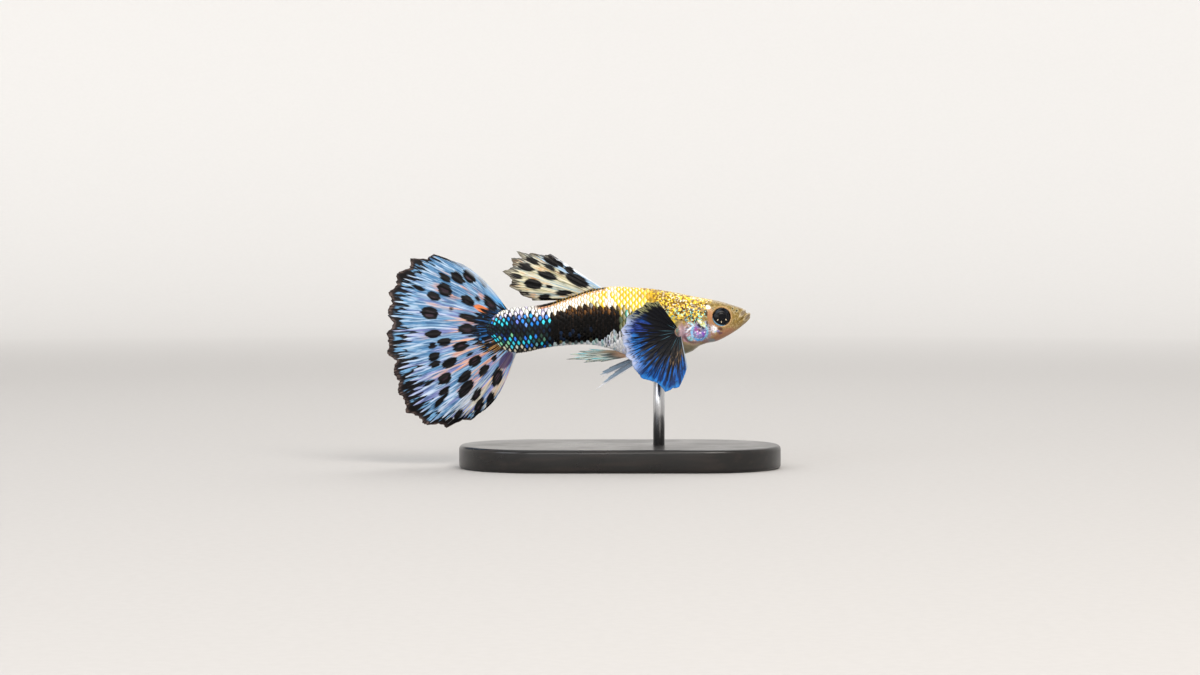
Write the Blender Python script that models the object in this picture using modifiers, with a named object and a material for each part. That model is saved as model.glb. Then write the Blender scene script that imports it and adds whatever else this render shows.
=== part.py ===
"""A male fancy guppy at life size, swimming level, held on a small display stand.

Run it with: blender --background --python part.py
Lengths are metres. +X is the way the fish faces, +Z is up, and the origin is at
the middle of the stand's underside.

The fish has a frame of its own, which fish() turns into that one:
  s  is the distance behind the snout,
  y  is the distance to the left of the mid plane,
  z  is the height above the fish's long axis.
"""

import math
import random

import bmesh
import bpy
from mathutils import Matrix, Vector

MM = 0.001
GAP = 0.3 * MM  # between neighbouring pieces
HALF_GAP = GAP / 2
SLIVER = 0.002 * MM

# ------------------------------------------------------------ driving dimensions
STANDARD_LENGTH = 32.0 * MM  # snout to the root of the tail fin
SNOUT_X = 17.0 * MM  # how far the snout is ahead of the stand's middle
AXIS_HEIGHT = 18.7 * MM  # the fish's long axis above the table

# The body at a few places: distance behind the snout, height of the back, height of
# the belly, half the width, and how square the section is above and below. In mm.
BODY = (
    (0.00, 1.36, 0.86, 0.46, 2.2, 2.2),
    (0.50, 1.90, 0.28, 0.98, 2.5, 2.3),
    (2.00, 2.44, -0.90, 1.50, 2.6, 2.2),
    (4.20, 3.08, -2.10, 2.02, 2.5, 2.1),
    (6.40, 3.50, -2.68, 2.42, 2.4, 2.0),
    (7.60, 3.72, -3.50, 2.56, 2.3, 1.9),
    (9.60, 4.08, -4.10, 2.64, 2.2, 1.9),
    (12.8, 4.56, -4.36, 2.62, 2.1, 1.9),
    (15.4, 4.76, -4.16, 2.44, 2.1, 1.9),
    (18.0, 4.86, -3.20, 2.16, 2.0, 1.9),
    (20.6, 4.52, -2.62, 1.92, 2.0, 1.9),
    (23.2, 3.70, -2.62, 1.72, 2.0, 2.0),
    (27.0, 2.52, -3.02, 1.42, 2.0, 2.0),
    (30.0, 2.12, -3.58, 1.06, 2.0, 2.0),
    (32.5, 1.86, -3.84, 0.66, 2.2, 2.2),
)
WIDEST_AT = 0.52  # height of the widest point, as a share of the depth
RING_POINTS = 32

# Where the body is parted, behind the snout.
HEAD_END = 8.75 * MM
TRUNK_END = 22.85 * MM
STALK_END = 31.40 * MM
STALK_LEAN = 0.21  # the stalk's rear face leans: its top lies further back

# The tail swings gently to the fish's left.
SWING_FROM = 13.0 * MM
SWING_AT_ROOT = 0.8 * MM

# ------------------------------------------------------------ head
EYE_S, EYE_Z, EYE_Y = 3.78 * MM, 1.05 * MM, 1.34 * MM
EYE_RADIUS, EYE_DEPTH = 1.15 * MM, 0.84 * MM

MOUTH_S, MOUTH_Z = 0.39 * MM, 1.54 * MM  # where the mouth's line starts, at the front
MOUTH_SLOPE = math.radians(47)  # it falls backwards at this angle
JAW_LENGTH = 2.3 * MM  # along that line, to the jaw's joint
UPPER_JAW_FRONT = 0.78 * MM  # the upper jaw ends this far behind the lower one
LIP_RADIUS = 0.26 * MM
LIP_FRONT, LIP_REACH = 0.52 * MM, 1.5 * MM  # how far behind the snout the lips run

NOSTRILS = ((1.80, 1.84), (2.32, 2.10))  # behind the snout and above the axis, mm
NOSTRIL_RADIUS = 0.15 * MM

GILL_S, GILL_Z = 6.95 * MM, -0.52 * MM  # middle of the gill cover
GILL_LONG, GILL_HIGH = 1.78 * MM, 1.78 * MM  # its half length and half height
GILL_THICK, GILL_PROUD = 0.62 * MM, 0.14 * MM

# ------------------------------------------------------------ fins
MEMBRANE = 0.50 * MM  # a fin's skin between its rays
RAY_RIDGE = 0.34 * MM  # what a ray adds to that, near its root
TIP_SHARE = 0.55  # a fin's edge is thinner than the rest, by this share

# The tail fin is a fan about this place. Its rays' lengths, in mm, run from its upper
# edge to its lower one.
TAIL_CENTRE_S, TAIL_CENTRE_Z = 31.06 * MM, -0.78 * MM
TAIL_TOP_ANGLE, TAIL_LOW_ANGLE = math.radians(53), math.radians(-74)
TAIL_LENGTHS = (
    10.9, 14.4, 16.7, 17.2, 17.4, 17.0, 16.6, 17.2, 16.8, 17.6, 17.8, 17.3, 15.7, 13.3, 10.1
)
TAIL_ROOT_THICK = 1.25 * MM
TAIL_WAVE = 1.1 * MM

# The other fins' roots, which lie in the body, and where their rays end: behind the
# snout and above the axis, in mm. Each runs from the fin's upper front to its rear.
DORSAL_ROOT = ((18.9, 4.5), (22.2, 3.2))
DORSAL_TIPS = (
    (26.2, 9.3), (28.7, 9.45), (30.7, 9.65), (31.5, 8.8),
    (32.6, 7.0), (31.7, 5.0), (30.0, 3.8), (28.6, 3.1),
)
DORSAL_WAVE = 0.7 * MM

ANAL_ROOT = ((16.1, -3.5), (15.7, -4.2))
ANAL_TIPS = ((21.2, -3.2), (22.7, -3.5), (23.6, -3.9), (24.1, -4.55), (21.9, -5.0), (19.6, -4.9))

# The pelvic fins, from the leading ray, which ends in a thread, to the hindmost one.
PELVIC_ROOT = ((13.3, -4.1), (14.3, -3.9))
PELVIC_Y = 0.75 * MM
PELVIC_SPLAY = 0.13  # how far it turns outwards, for each unit of its length
PELVIC_RIGHT_TIPS = ((20.5, -8.65), (19.4, -7.6), (18.5, -6.8), (17.8, -6.2), (17.1, -5.7))
PELVIC_LEFT_TIPS = ((19.8, -7.1), (19.7, -6.7), (19.4, -6.25), (18.5, -5.7), (17.6, -5.3))

# A pectoral fin is a fan on a fleshy lobe. Its rays' lengths, in mm and as seen from
# the side, run from the upper edge round to the lower front one.
PECTORAL_S, PECTORAL_Z = 9.25 * MM, -0.78 * MM
PECTORAL_TOP, PECTORAL_LOW = math.radians(54), math.radians(-102)
PECTORAL_LENGTHS = (4.9, 5.9, 6.4, 7.3, 7.75, 7.7, 7.7, 7.75, 7.9, 7.4, 8.0, 7.2, 4.6)
PECTORAL_ROOT = 0.50 * MM  # the rays start this far from its middle
PECTORAL_FLARE = 0.52  # how far the fin stands out, for each unit of its length
PECTORAL_LOBE = (0.80, 0.64, 1.06)  # half sizes of its fleshy root, mm
PECTORAL_STANDS_OFF = 0.74 * MM  # from the flank to the middle of the fin's root

# ------------------------------------------------------------ stand
BASE_LENGTH, BASE_WIDTH, BASE_THICK = 42.0 * MM, 22.0 * MM, 3.0 * MM
BASE_CORNER, BASE_EDGE = 10.5 * MM, 0.5 * MM
ROD_S = 11.9 * MM  # it meets the belly here
ROD_RADIUS = 0.75 * MM
ROD_SOCKET = 1.6 * MM  # how deep it sits in the base

COLOURS = {  # sRGB, roughness, metallic
    "snout_skin": ((0.72, 0.60, 0.36), 0.42, 0.15),
    "flank_skin": ((0.40, 0.36, 0.22), 0.38, 0.25),
    "stalk_skin": ((0.13, 0.32, 0.42), 0.35, 0.30),
    "gill_skin": ((0.62, 0.58, 0.72), 0.30, 0.40),
    "eye": ((0.03, 0.03, 0.05), 0.08, 0.0),
    "tail_membrane": ((0.52, 0.67, 0.86), 0.45, 0.05),
    "dorsal_membrane": ((0.80, 0.77, 0.66), 0.45, 0.05),
    "pectoral_membrane": ((0.09, 0.22, 0.50), 0.42, 0.05),
    "clear_membrane": ((0.60, 0.60, 0.56), 0.45, 0.0),
    "base_lacquer": ((0.07, 0.07, 0.08), 0.30, 0.0),
    "rod_steel": ((0.66, 0.66, 0.67), 0.28, 1.0),
}


# ------------------------------------------------------------ numbers and places
def ease(low, high, at):
    """Runs smoothly from 0 at low to 1 at high."""
    t = max(0.0, min(1.0, (at - low) / (high - low)))
    return t * t * (3 - 2 * t)


def along(values, share):
    """Reads a short list of numbers at a share of its length, 0 to 1."""
    place = max(0.0, min(1.0, share)) * (len(values) - 1)
    i = min(int(place), len(values) - 2)
    return values[i] + (values[i + 1] - values[i]) * (place - i)


def body_value(s, column):
    """Reads a column of BODY at s, on a smooth curve through its rows."""
    at = max(BODY[0][0], min(BODY[-1][0], s / MM))
    i = min(sum(row[0] <= at for row in BODY) - 1, len(BODY) - 2)

    def slope(k):
        low, high = max(k - 1, 0), min(k + 1, len(BODY) - 1)
        return (BODY[high][column] - BODY[low][column]) / (BODY[high][0] - BODY[low][0])

    (start, a), (stop, b) = ((BODY[k][0], BODY[k][column]) for k in (i, i + 1))
    span = stop - start
    t = (at - start) / span
    return (
        a * (2 * t**3 - 3 * t**2 + 1)
        + b * (3 * t**2 - 2 * t**3)
        + slope(i) * span * (t**3 - 2 * t**2 + t)
        + slope(i + 1) * span * (t**3 - t**2)
    )


def section(s):
    """The body's half width, back, belly and widest height at s, in metres."""
    back, belly, half = (body_value(s, k) * MM for k in (1, 2, 3))
    return half, back, belly, belly + WIDEST_AT * (back - belly)


def swing(s):
    """How far the mid plane has swung to the left at s."""
    reach = STANDARD_LENGTH - SWING_FROM
    if s < SWING_FROM:
        return 0.0
    if s < STANDARD_LENGTH:
        return SWING_AT_ROOT * ((s - SWING_FROM) / reach) ** 2
    return SWING_AT_ROOT * (1 + 2 * (s - STANDARD_LENGTH) / reach)


def fish(s, y, z):
    """The point in the model's frame for a place in the fish's own."""
    return Vector((SNOUT_X - s, y + swing(s), AXIS_HEIGHT + z))


def body_point(s, angle, grow=0.0):
    """A point on the body's skin. angle goes round it: 0 is the left side, 90
    degrees the back. grow moves the skin outwards."""
    half, back, belly, widest = section(s)
    across, up = math.cos(angle), math.sin(angle)
    power = 2 / body_value(s, 4 if up > 0 else 5)
    reach = (back - widest if up > 0 else widest - belly) + grow
    y = math.copysign((half + grow) * abs(across) ** power, across)
    z = widest + math.copysign(reach * abs(up) ** power, up)
    lean = STALK_LEAN * ease(25 * MM, STALK_END, s) * (z - widest)
    return fish(s + lean, y, z)


def half_width_at(s, z, grow=0.0):
    """Half the body's width at s, at the height z."""
    half, back, belly, widest = section(s)
    up = z > widest
    power = body_value(s, 4 if up else 5)
    share = abs(z - widest) / ((back - widest if up else widest - belly) + grow)
    return (half + grow) * max(0.0, 1 - share**power) ** (1 / power)


# ------------------------------------------------------------ making objects
def new_collection(name):
    made = bpy.data.collections.new(name)
    bpy.context.scene.collection.children.link(made)
    return made


def new_material(name):
    colour, roughness, metallic = COLOURS[name]
    made = bpy.data.materials.new(name)
    made.use_nodes = True
    shader = made.node_tree.nodes["Principled BSDF"]
    linear = [c / 12.92 if c <= 0.04045 else ((c + 0.055) / 1.055) ** 2.4 for c in colour]
    shader.inputs["Base Color"].default_value = (*linear, 1)
    shader.inputs["Roughness"].default_value = roughness
    shader.inputs["Metallic"].default_value = metallic
    made.diffuse_color = (*linear, 1)
    return made


def new_object(name, bm, collection, material=None):
    """Puts a bmesh in the scene as an object, with its faces turned outwards."""
    mesh = bpy.data.meshes.new(name)
    bmesh.ops.recalc_face_normals(bm, faces=bm.faces)
    if bm.calc_volume(signed=True) < 0:
        bmesh.ops.reverse_faces(bm, faces=bm.faces)
    bm.to_mesh(mesh)
    bm.free()
    obj = bpy.data.objects.new(name, mesh)
    collection.objects.link(obj)
    if material:
        mesh.materials.append(bpy.data.materials.get(material) or new_material(material))
    if collection is CUTTERS:
        obj.hide_render = True
        obj.display_type = "WIRE"
    return obj


def boolean(obj, other, operation, solver="EXACT"):
    """Cuts or joins obj with other, and applies that."""
    modifier = obj.modifiers.new(operation.lower(), "BOOLEAN")
    modifier.object = other
    modifier.operation = operation
    modifier.solver = solver
    apply_modifiers(obj)


def apply_modifiers(obj):
    """Makes the object's mesh what its modifiers show."""
    bpy.context.view_layer.update()
    graph = bpy.context.evaluated_depsgraph_get()
    shown = bpy.data.meshes.new_from_object(obj.evaluated_get(graph))
    obj.modifiers.clear()
    obj.data = shown


def keep_largest(obj):
    """Drops all but the largest closed surface of a mesh, and its slivers."""
    bm = bmesh.new()
    bm.from_mesh(obj.data)
    bmesh.ops.remove_doubles(bm, verts=bm.verts, dist=SLIVER)
    bmesh.ops.dissolve_degenerate(bm, edges=bm.edges, dist=SLIVER)
    left, islands = set(bm.verts), []
    while left:
        island, edge = set(), [left.pop()]
        while edge:
            vert = edge.pop()
            island.add(vert)
            near = {e.other_vert(vert) for e in vert.link_edges} & left
            left -= near
            edge.extend(near)
        islands.append(island)
    largest = max(islands, key=len)
    loose = [v for v in bm.verts if v not in largest]
    bmesh.ops.delete(bm, geom=loose, context="VERTS")
    bm.to_mesh(obj.data)
    bm.free()
    obj.data.shade_smooth()
    obj.data.set_sharp_from_angle(angle=math.radians(35))


def join(name, pieces, material):
    """Joins closed meshes into one object by a Boolean union, and removes them."""
    group = new_collection(name + "_pieces")
    for piece in pieces[1:]:
        for owner in list(piece.users_collection):
            owner.objects.unlink(piece)
        group.objects.link(piece)
    first = pieces[0]
    modifier = first.modifiers.new("join", "BOOLEAN")
    modifier.operand_type = "COLLECTION"
    modifier.collection = group
    modifier.operation = "UNION"
    apply_modifiers(first)
    for piece in pieces[1:]:
        bpy.data.objects.remove(piece)
    bpy.data.collections.remove(group)
    first.name = name
    first.data.materials.clear()
    first.data.materials.append(bpy.data.materials.get(material) or new_material(material))
    return first


# ------------------------------------------------------------ body
def body_length(name, start, stop, rings, collection, material=None, grow=0.0, crowd=1.0):
    """A closed length of the body. It starts as a sphere, whose rings are slid to
    their places along the body and whose poles close the two ends."""
    bm = bmesh.new()
    rows = rings + 1
    bmesh.ops.create_uvsphere(bm, u_segments=RING_POINTS, v_segments=rows, radius=1)
    for vert in bm.verts:
        row = round(math.acos(max(-1.0, min(1.0, vert.co.z))) / math.pi * rows)
        share = max(0.0, min(1.0, (row - 1) / (rings - 1))) ** crowd
        s = start + (stop - start) * share
        if row in (0, rows):
            lean_free = section(s)[3]
            vert.co = fish(s, 0, lean_free)
        else:
            vert.co = body_point(s, math.atan2(vert.co.y, vert.co.x), grow)
    return new_object(name, bm, collection, material)


def block(name, low, high, matrix, collection, material=None):
    """A box between two corners, turned and moved by a matrix."""
    bm = bmesh.new()
    bmesh.ops.create_cube(bm, size=1)
    low, high = Vector(low), Vector(high)
    for vert in bm.verts:
        share = vert.co + Vector((0.5, 0.5, 0.5))
        vert.co = Vector(low[k] + (high[k] - low[k]) * share[k] for k in range(3))
    bmesh.ops.transform(bm, matrix=matrix, verts=bm.verts)
    return new_object(name, bm, collection, material)


def mouth_matrix():
    """The mouth's own frame: X runs back along the mouth's line, Z stands on it."""
    turn = Matrix.Rotation(math.pi, 4, "Z") @ Matrix.Rotation(MOUTH_SLOPE, 4, "Y")
    return Matrix.Translation(fish(MOUTH_S, 0, MOUTH_Z)) @ turn


def mouth_height(s):
    """Height of the mouth's line at s."""
    return MOUTH_Z - (s - MOUTH_S) * math.tan(MOUTH_SLOPE)


def jaw_block(name, margin):
    """The space of the lower jaw, with its upper and rear faces moved by margin."""
    low = (-5 * MM, -4 * MM, -4 * MM)
    high = (JAW_LENGTH + margin, 4 * MM, margin)
    return block(name, low, high, mouth_matrix(), CUTTERS)


def ball(name, centre, radii, collection, material=None, segments=20, rings=12):
    """An ellipsoid, with its poles on the Y axis."""
    bm = bmesh.new()
    bmesh.ops.create_uvsphere(bm, u_segments=segments, v_segments=rings, radius=1)
    shape = Matrix.Diagonal((*radii, 1)) @ Matrix.Rotation(math.pi / 2, 4, "X")
    bmesh.ops.transform(bm, matrix=Matrix.Translation(centre) @ shape, verts=bm.verts)
    return new_object(name, bm, collection, material)


def tube(name, points, radii, collection):
    """A round bar through some points, as a closed mesh."""
    curve = bpy.data.curves.new(name, "CURVE")
    curve.dimensions = "3D"
    curve.bevel_depth = 1
    curve.bevel_resolution = 2
    curve.use_fill_caps = True
    spline = curve.splines.new("POLY")
    spline.points.add(len(points) - 1)
    for place, point, radius in zip(spline.points, points, radii):
        place.co = (*point, 1)
        place.radius = radius
    bar = bpy.data.objects.new(name, curve)
    collection.objects.link(bar)
    bpy.context.view_layer.update()
    graph = bpy.context.evaluated_depsgraph_get()
    mesh = bpy.data.meshes.new_from_object(bar.evaluated_get(graph))
    bm = bmesh.new()
    bm.from_mesh(mesh)
    bmesh.ops.remove_doubles(bm, verts=bm.verts, dist=1e-7)
    bpy.data.objects.remove(bar)
    bpy.data.meshes.remove(mesh)
    return new_object(name, bm, collection)


def lip(name, side):
    """A rounded lip along the mouth's edge, above it (side 1) or below it (-1). It
    is a horseshoe, seen along the mouth's line, and thins out at the corners."""
    steps = 10
    wide = half_width_at(LIP_REACH, mouth_height(LIP_REACH)) - 0.05 * MM
    up = mouth_matrix().to_3x3() @ Vector((0, 0, 1))
    lift = side * (HALF_GAP + LIP_RADIUS * 0.95)
    points, radii = [], []
    for k in range(-steps, steps + 1):
        turn = math.radians(90) * k / steps
        s = LIP_FRONT + (LIP_REACH - LIP_FRONT) * (1 - math.cos(turn))
        points.append(fish(s, wide * math.sin(turn), mouth_height(s)) + up * lift)
        radii.append(LIP_RADIUS * (1 - 0.55 * abs(k / steps) ** 3))
    return tube(name, points, radii, CUTTERS)


def gill_column(name, side, grow):
    """The gill cover's outline, seen from the side, as a bar along Y. grow makes it
    wider, and starts it deeper."""
    bm = bmesh.new()
    bmesh.ops.create_cone(
        bm, cap_ends=True, segments=28, radius1=1, radius2=1, depth=2
    )
    for vert in bm.verts:
        angle = math.atan2(vert.co.y, vert.co.x)
        squareness = 0.86 if vert.co.x < 0 else 1.0  # the front edge is straighter
        s = GILL_S + (GILL_LONG + grow) * math.copysign(
            abs(math.cos(angle)) ** squareness, math.cos(angle)
        )
        z = GILL_Z + (GILL_HIGH + grow) * math.sin(angle) - 0.18 * (s - GILL_S)
        y = side * (0.95 * MM - grow if vert.co.z < 0 else 4.5 * MM)
        vert.co = fish(s, y, z)
    return new_object(name, bm, CUTTERS)


def make_head():
    """The head with its lower jaw, lips, nostrils, eyes and gill covers."""
    head = body_length("head", UPPER_JAW_FRONT, HEAD_END, 18, PARTS, "snout_skin", crowd=1.2)
    jaw = body_length("lower_jaw", 0, HEAD_END, 18, PARTS, "snout_skin", crowd=1.35)
    boolean(jaw, jaw_block("jaw_space", -HALF_GAP), "INTERSECT")
    boolean(head, jaw_block("jaw_room", HALF_GAP), "DIFFERENCE")
    join("head", [head, lip("upper_lip", 1)], "snout_skin")
    join("lower_jaw", [jaw, lip("lower_lip", -1)], "snout_skin")
    for side, word in ((1, "left"), (-1, "right")):
        make_eye(head, side, word)
        make_gill_cover(head, side, word)
        for k, (s, z) in enumerate(NOSTRILS):
            place = fish(s * MM, side * half_width_at(s * MM, z * MM), z * MM)
            pit = ball(f"nostril_{word}_{k}", place, (NOSTRIL_RADIUS,) * 3, CUTTERS, None, 8, 6)
            boolean(head, pit, "DIFFERENCE")
    keep_largest(head)
    keep_largest(jaw)


def make_eye(head, side, word):
    """An eye, and its socket in the head."""
    centre = fish(EYE_S, side * EYE_Y, EYE_Z)
    radii = Vector((EYE_RADIUS, EYE_DEPTH, EYE_RADIUS))
    eye = ball(f"eye_{word}", centre, radii, PARTS, "eye")
    eye.data.shade_smooth()
    room = radii + Vector((GAP, GAP, GAP))
    socket = ball(f"socket_{word}", centre, room, CUTTERS)
    boolean(head, socket, "DIFFERENCE")


def make_gill_cover(head, side, word):
    """A bony plate over the gills, let into a shallow bed in the head."""
    name = f"gill_cover_{word}"
    cover = gill_column(name, side, 0)
    CUTTERS.objects.unlink(cover)
    PARTS.objects.link(cover)
    cover.hide_render = False
    cover.display_type = "TEXTURED"
    near = (GILL_S - 3 * MM, GILL_S + 3 * MM, 10, CUTTERS)
    outer = body_length(name + "_outer", *near, grow=GILL_PROUD)
    inner_grow = GILL_PROUD - GILL_THICK
    inner = body_length(name + "_inner", *near, grow=inner_grow)
    boolean(cover, outer, "INTERSECT")
    boolean(cover, inner, "DIFFERENCE")
    cover.data.materials.clear()
    cover.data.materials.append(bpy.data.materials.get("gill_skin") or new_material("gill_skin"))
    keep_largest(cover)
    bed = gill_column(name + "_bed", side, GAP)
    floor = body_length(name + "_floor", *near, grow=inner_grow - GAP)
    boolean(bed, floor, "DIFFERENCE")
    boolean(head, bed, "DIFFERENCE")


# ------------------------------------------------------------ fins
def fin_sheet(name, material, rays, rows, place, root_thick, forked=True):
    """A fin. It starts as a flat net whose lines become the rays: place(u, v) says
    where a corner goes, with u across the rays and v along them. Solidify gives both
    faces the same triangles, and the rays rise out of them as ridges."""
    lines = 4 if forked else 2
    columns = lines * (rays - 1)
    most = max(root_thick, MEMBRANE + RAY_RIDGE) + RAY_RIDGE
    bm = bmesh.new()
    bmesh.ops.create_grid(bm, x_segments=columns, y_segments=rows, size=1)
    shares = {}
    for vert in bm.verts:
        u, v = (vert.co.x + 1) / 2, (vert.co.y + 1) / 2
        line = round(u * columns) % lines
        ridge = crest(line, v) if forked else 0.7 * (1 - line)
        shares[vert.index] = fin_thickness(v, ridge, root_thick) / most
        vert.co = place(u, v)
    bmesh.ops.triangulate(bm, faces=bm.faces, quad_method="SHORT_EDGE")
    obj = new_object(name, bm, PARTS, material)
    group = obj.vertex_groups.new(name="thickness")
    for index, share in shares.items():
        group.add([index], share, "REPLACE")
    solid = obj.modifiers.new("thickness", "SOLIDIFY")
    solid.thickness = most
    solid.offset = 0
    solid.vertex_group = "thickness"
    apply_modifiers(obj)
    obj.vertex_groups.clear()
    return obj


def crest(line, v):
    """How high a ray stands on a line of the net: one ridge that forks half way."""
    single = (1.0, 0.22, 0.0, 0.22)[line]
    forked = (0.15, 0.85, 0.0, 0.85)[line]
    fork = ease(0.42, 0.60, v)
    return single + (forked - single) * fork


def fin_thickness(v, ridge, root_thick):
    """How thick a fin is: thick at its root, then skin with ridges, thin at its edge."""
    base = root_thick + (MEMBRANE - root_thick) * ease(0, 0.16, v)
    ridged = base + RAY_RIDGE * ridge * (1 - 0.55 * v) * ease(0, 0.14, v)
    return ridged * (1 - (1 - TIP_SHARE) * ease(0.80, 1, v))


def ragged(rays, seed, uneven, notch):
    """How far each line of a fin's net reaches, as share(u, v) of a ray's length:
    the rays end in points, and the skin between them falls short by about the notch."""
    draw = random.Random(seed)
    ends = [1 - uneven * draw.random() for _ in range(rays)]
    bays = [1 - notch * (0.6 + 0.8 * draw.random()) for _ in range(rays)]

    def share(u, v):
        place = u * (rays - 1)
        nearest = round(place)
        off = abs(place - nearest) * 2  # 0 on a ray, 1 half way to the next
        bay = bays[min(int(place), rays - 2)]
        end = ends[nearest] * (1 - (1 - bay) * off**0.8)
        return v * (1 - (1 - end) * v**3)

    return share


def clear_of_body(fin):
    """Cuts a fin back to the gap that it keeps from the body, so that its root
    follows the skin that it grows from."""
    boolean(fin, BODY_ROOM, "DIFFERENCE")
    keep_largest(fin)


def make_tail_fin():
    """The tail fin: a wide fan that grows from the stalk's rear face."""
    rays = len(TAIL_LENGTHS)
    edge = ragged(rays, 7, 0.02, 0.045)
    _, back, belly, widest = section(STALK_END)

    def place(u, v):
        angle = TAIL_TOP_ANGLE + (TAIL_LOW_ANGLE - TAIL_TOP_ANGLE) * u
        reach = along(TAIL_LENGTHS, u) * MM
        share = edge(u, v)
        root_z = back * 0.82 + (belly * 0.90 - back * 0.82) * u
        root_s = STALK_END - 0.4 * MM + STALK_LEAN * (root_z - widest)
        tip_s = TAIL_CENTRE_S + reach * math.cos(angle)
        tip_z = TAIL_CENTRE_Z + reach * math.sin(angle)
        bow = 0.9 * MM * math.sin(math.pi * v) * math.sin(angle)
        wave = math.sin(2.6 * math.pi * u + 0.6) * (0.35 + 0.65 * u)
        return fish(
            root_s + (tip_s - root_s) * share,
            TAIL_WAVE * v**1.6 * wave,
            root_z + (tip_z - root_z) * share + bow,
        )

    clear_of_body(fin_sheet("caudal_fin", "tail_membrane", rays, 11, place, TAIL_ROOT_THICK))


def ray_fin(name, material, root, tips, sideways, edge, rows, root_thick):
    """A fin whose rays run from a straight root in the body to their own tips.
    sideways(u, v, s) is how far it lies from the mid plane."""

    def place(u, v):
        start = [root[0][k] + (root[1][k] - root[0][k]) * u for k in (0, 1)]
        stop = [along([tip[k] for tip in tips], u) for k in (0, 1)]
        s, z = ((start[k] + (stop[k] - start[k]) * edge(u, v)) * MM for k in (0, 1))
        return fish(s, sideways(u, v, s), z)

    forked = len(tips) > 6
    clear_of_body(fin_sheet(name, material, len(tips), rows, place, root_thick, forked))


def make_dorsal_fin():
    """The dorsal fin: its rays lean back over the stalk."""

    def sideways(u, v, _):
        return DORSAL_WAVE * v**1.7 * math.sin(2.2 * math.pi * u + 0.4)

    edge = ragged(len(DORSAL_TIPS), 3, 0.02, 0.07)
    fin = ("dorsal_fin", "dorsal_membrane", DORSAL_ROOT, DORSAL_TIPS)
    ray_fin(*fin, sideways, edge, 9, 0.85 * MM)


def make_anal_fin():
    """The male's anal fin: long, narrow rays that part at their ends."""

    def sideways(u, v, _):
        return 0.2 * MM * v * v * math.sin(2 * math.pi * u)

    edge = ragged(len(ANAL_TIPS), 2, 0.02, 0.22)
    fin = ("anal_fin", "clear_membrane", ANAL_ROOT, ANAL_TIPS)
    ray_fin(*fin, sideways, edge, 9, 0.6 * MM)


def make_pelvic_fin(tips, side, word):
    """A pelvic fin: narrow, and drawn out to a thread at its leading edge."""

    def sideways(_, __, s):
        return side * (PELVIC_Y + PELVIC_SPLAY * (s - PELVIC_ROOT[0][0] * MM))

    edge = ragged(len(tips), 5, 0.0, 0.12)
    fin = (f"pelvic_fin_{word}", "clear_membrane", PELVIC_ROOT, tips)
    ray_fin(*fin, sideways, edge, 8, 0.6 * MM)


def make_pectoral_fin(side, word):
    """A pectoral fin: a broad round fan that flares from the flank, on a short
    fleshy root behind the gill cover."""
    rays = len(PECTORAL_LENGTHS)
    edge = ragged(rays, 11, 0.01, 0.04)
    flank = half_width_at(PECTORAL_S, PECTORAL_Z)

    def place(u, v):
        angle = PECTORAL_TOP + (PECTORAL_LOW - PECTORAL_TOP) * u
        reach = along(PECTORAL_LENGTHS, u) * MM
        ray = PECTORAL_ROOT + (reach - PECTORAL_ROOT) * edge(u, v)
        flare = PECTORAL_FLARE * (0.64 + 0.36 * math.sin(math.pi * u))
        out = flare * reach * (v - 0.22 * v * v)
        ripple = 0.14 * MM * v * v * math.sin(7 * math.pi * u)
        return fish(
            PECTORAL_S + ray * math.cos(angle),
            side * (flank + PECTORAL_STANDS_OFF + out + ripple),
            PECTORAL_Z + ray * math.sin(angle),
        )

    name = f"pectoral_fin_{word}"
    fin = fin_sheet(name, "pectoral_membrane", rays, 8, place, 0.6 * MM)
    centre = fish(PECTORAL_S + 0.13 * MM, side * (flank + 0.6 * MM), PECTORAL_Z)
    lobe = ball(name + "_lobe", centre, Vector(PECTORAL_LOBE) * MM, CUTTERS, None, 16, 10)
    join(name, [fin, lobe], "pectoral_membrane")
    clear_of_body(fin)


# ------------------------------------------------------------ stand
def make_stand():
    """A flat lacquered base with round ends, and a steel rod up to the belly."""
    low = (-BASE_LENGTH / 2, -BASE_WIDTH / 2, 0)
    high = (BASE_LENGTH / 2, BASE_WIDTH / 2, BASE_THICK)
    base = block("stand_base", low, high, Matrix.Identity(4), PARTS, "base_lacquer")
    bm = bmesh.new()
    bm.from_mesh(base.data)
    upright = [e for e in bm.edges if abs(e.verts[0].co.z - e.verts[1].co.z) > BASE_THICK / 2]
    bmesh.ops.bevel(
        bm, geom=upright, offset=BASE_CORNER, segments=9, profile=0.5, affect="EDGES", material=-1
    )
    rim = [e for e in bm.edges if all(v.co.z > BASE_THICK - 1e-6 for v in e.verts)]
    bmesh.ops.bevel(
        bm, geom=rim, offset=BASE_EDGE, segments=2, profile=0.5, affect="EDGES", material=-1
    )
    bm.to_mesh(base.data)
    bm.free()
    rod_x = SNOUT_X - ROD_S
    bottom = BASE_THICK - ROD_SOCKET
    hole = rod("stand_hole", rod_x, bottom - GAP, BASE_THICK + 5 * MM, ROD_RADIUS + GAP, CUTTERS)
    boolean(base, hole, "DIFFERENCE")
    keep_largest(base)
    bar = rod("stand_rod", rod_x, bottom, AXIS_HEIGHT, ROD_RADIUS, PARTS, "rod_steel")
    clear_of_body(bar)


def rod(name, x, low, high, radius, collection, material=None):
    """An upright round bar."""
    bm = bmesh.new()
    bmesh.ops.create_cone(
        bm, cap_ends=True, segments=20, radius1=radius, radius2=radius, depth=high - low
    )
    bmesh.ops.translate(bm, vec=(x, 0, (low + high) / 2), verts=bm.verts)
    return new_object(name, bm, collection, material)


# ------------------------------------------------------------ the model
for old in list(bpy.data.objects):
    bpy.data.objects.remove(old)
PARTS = new_collection("fancy_guppy")
CUTTERS = new_collection("cutters")

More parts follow.
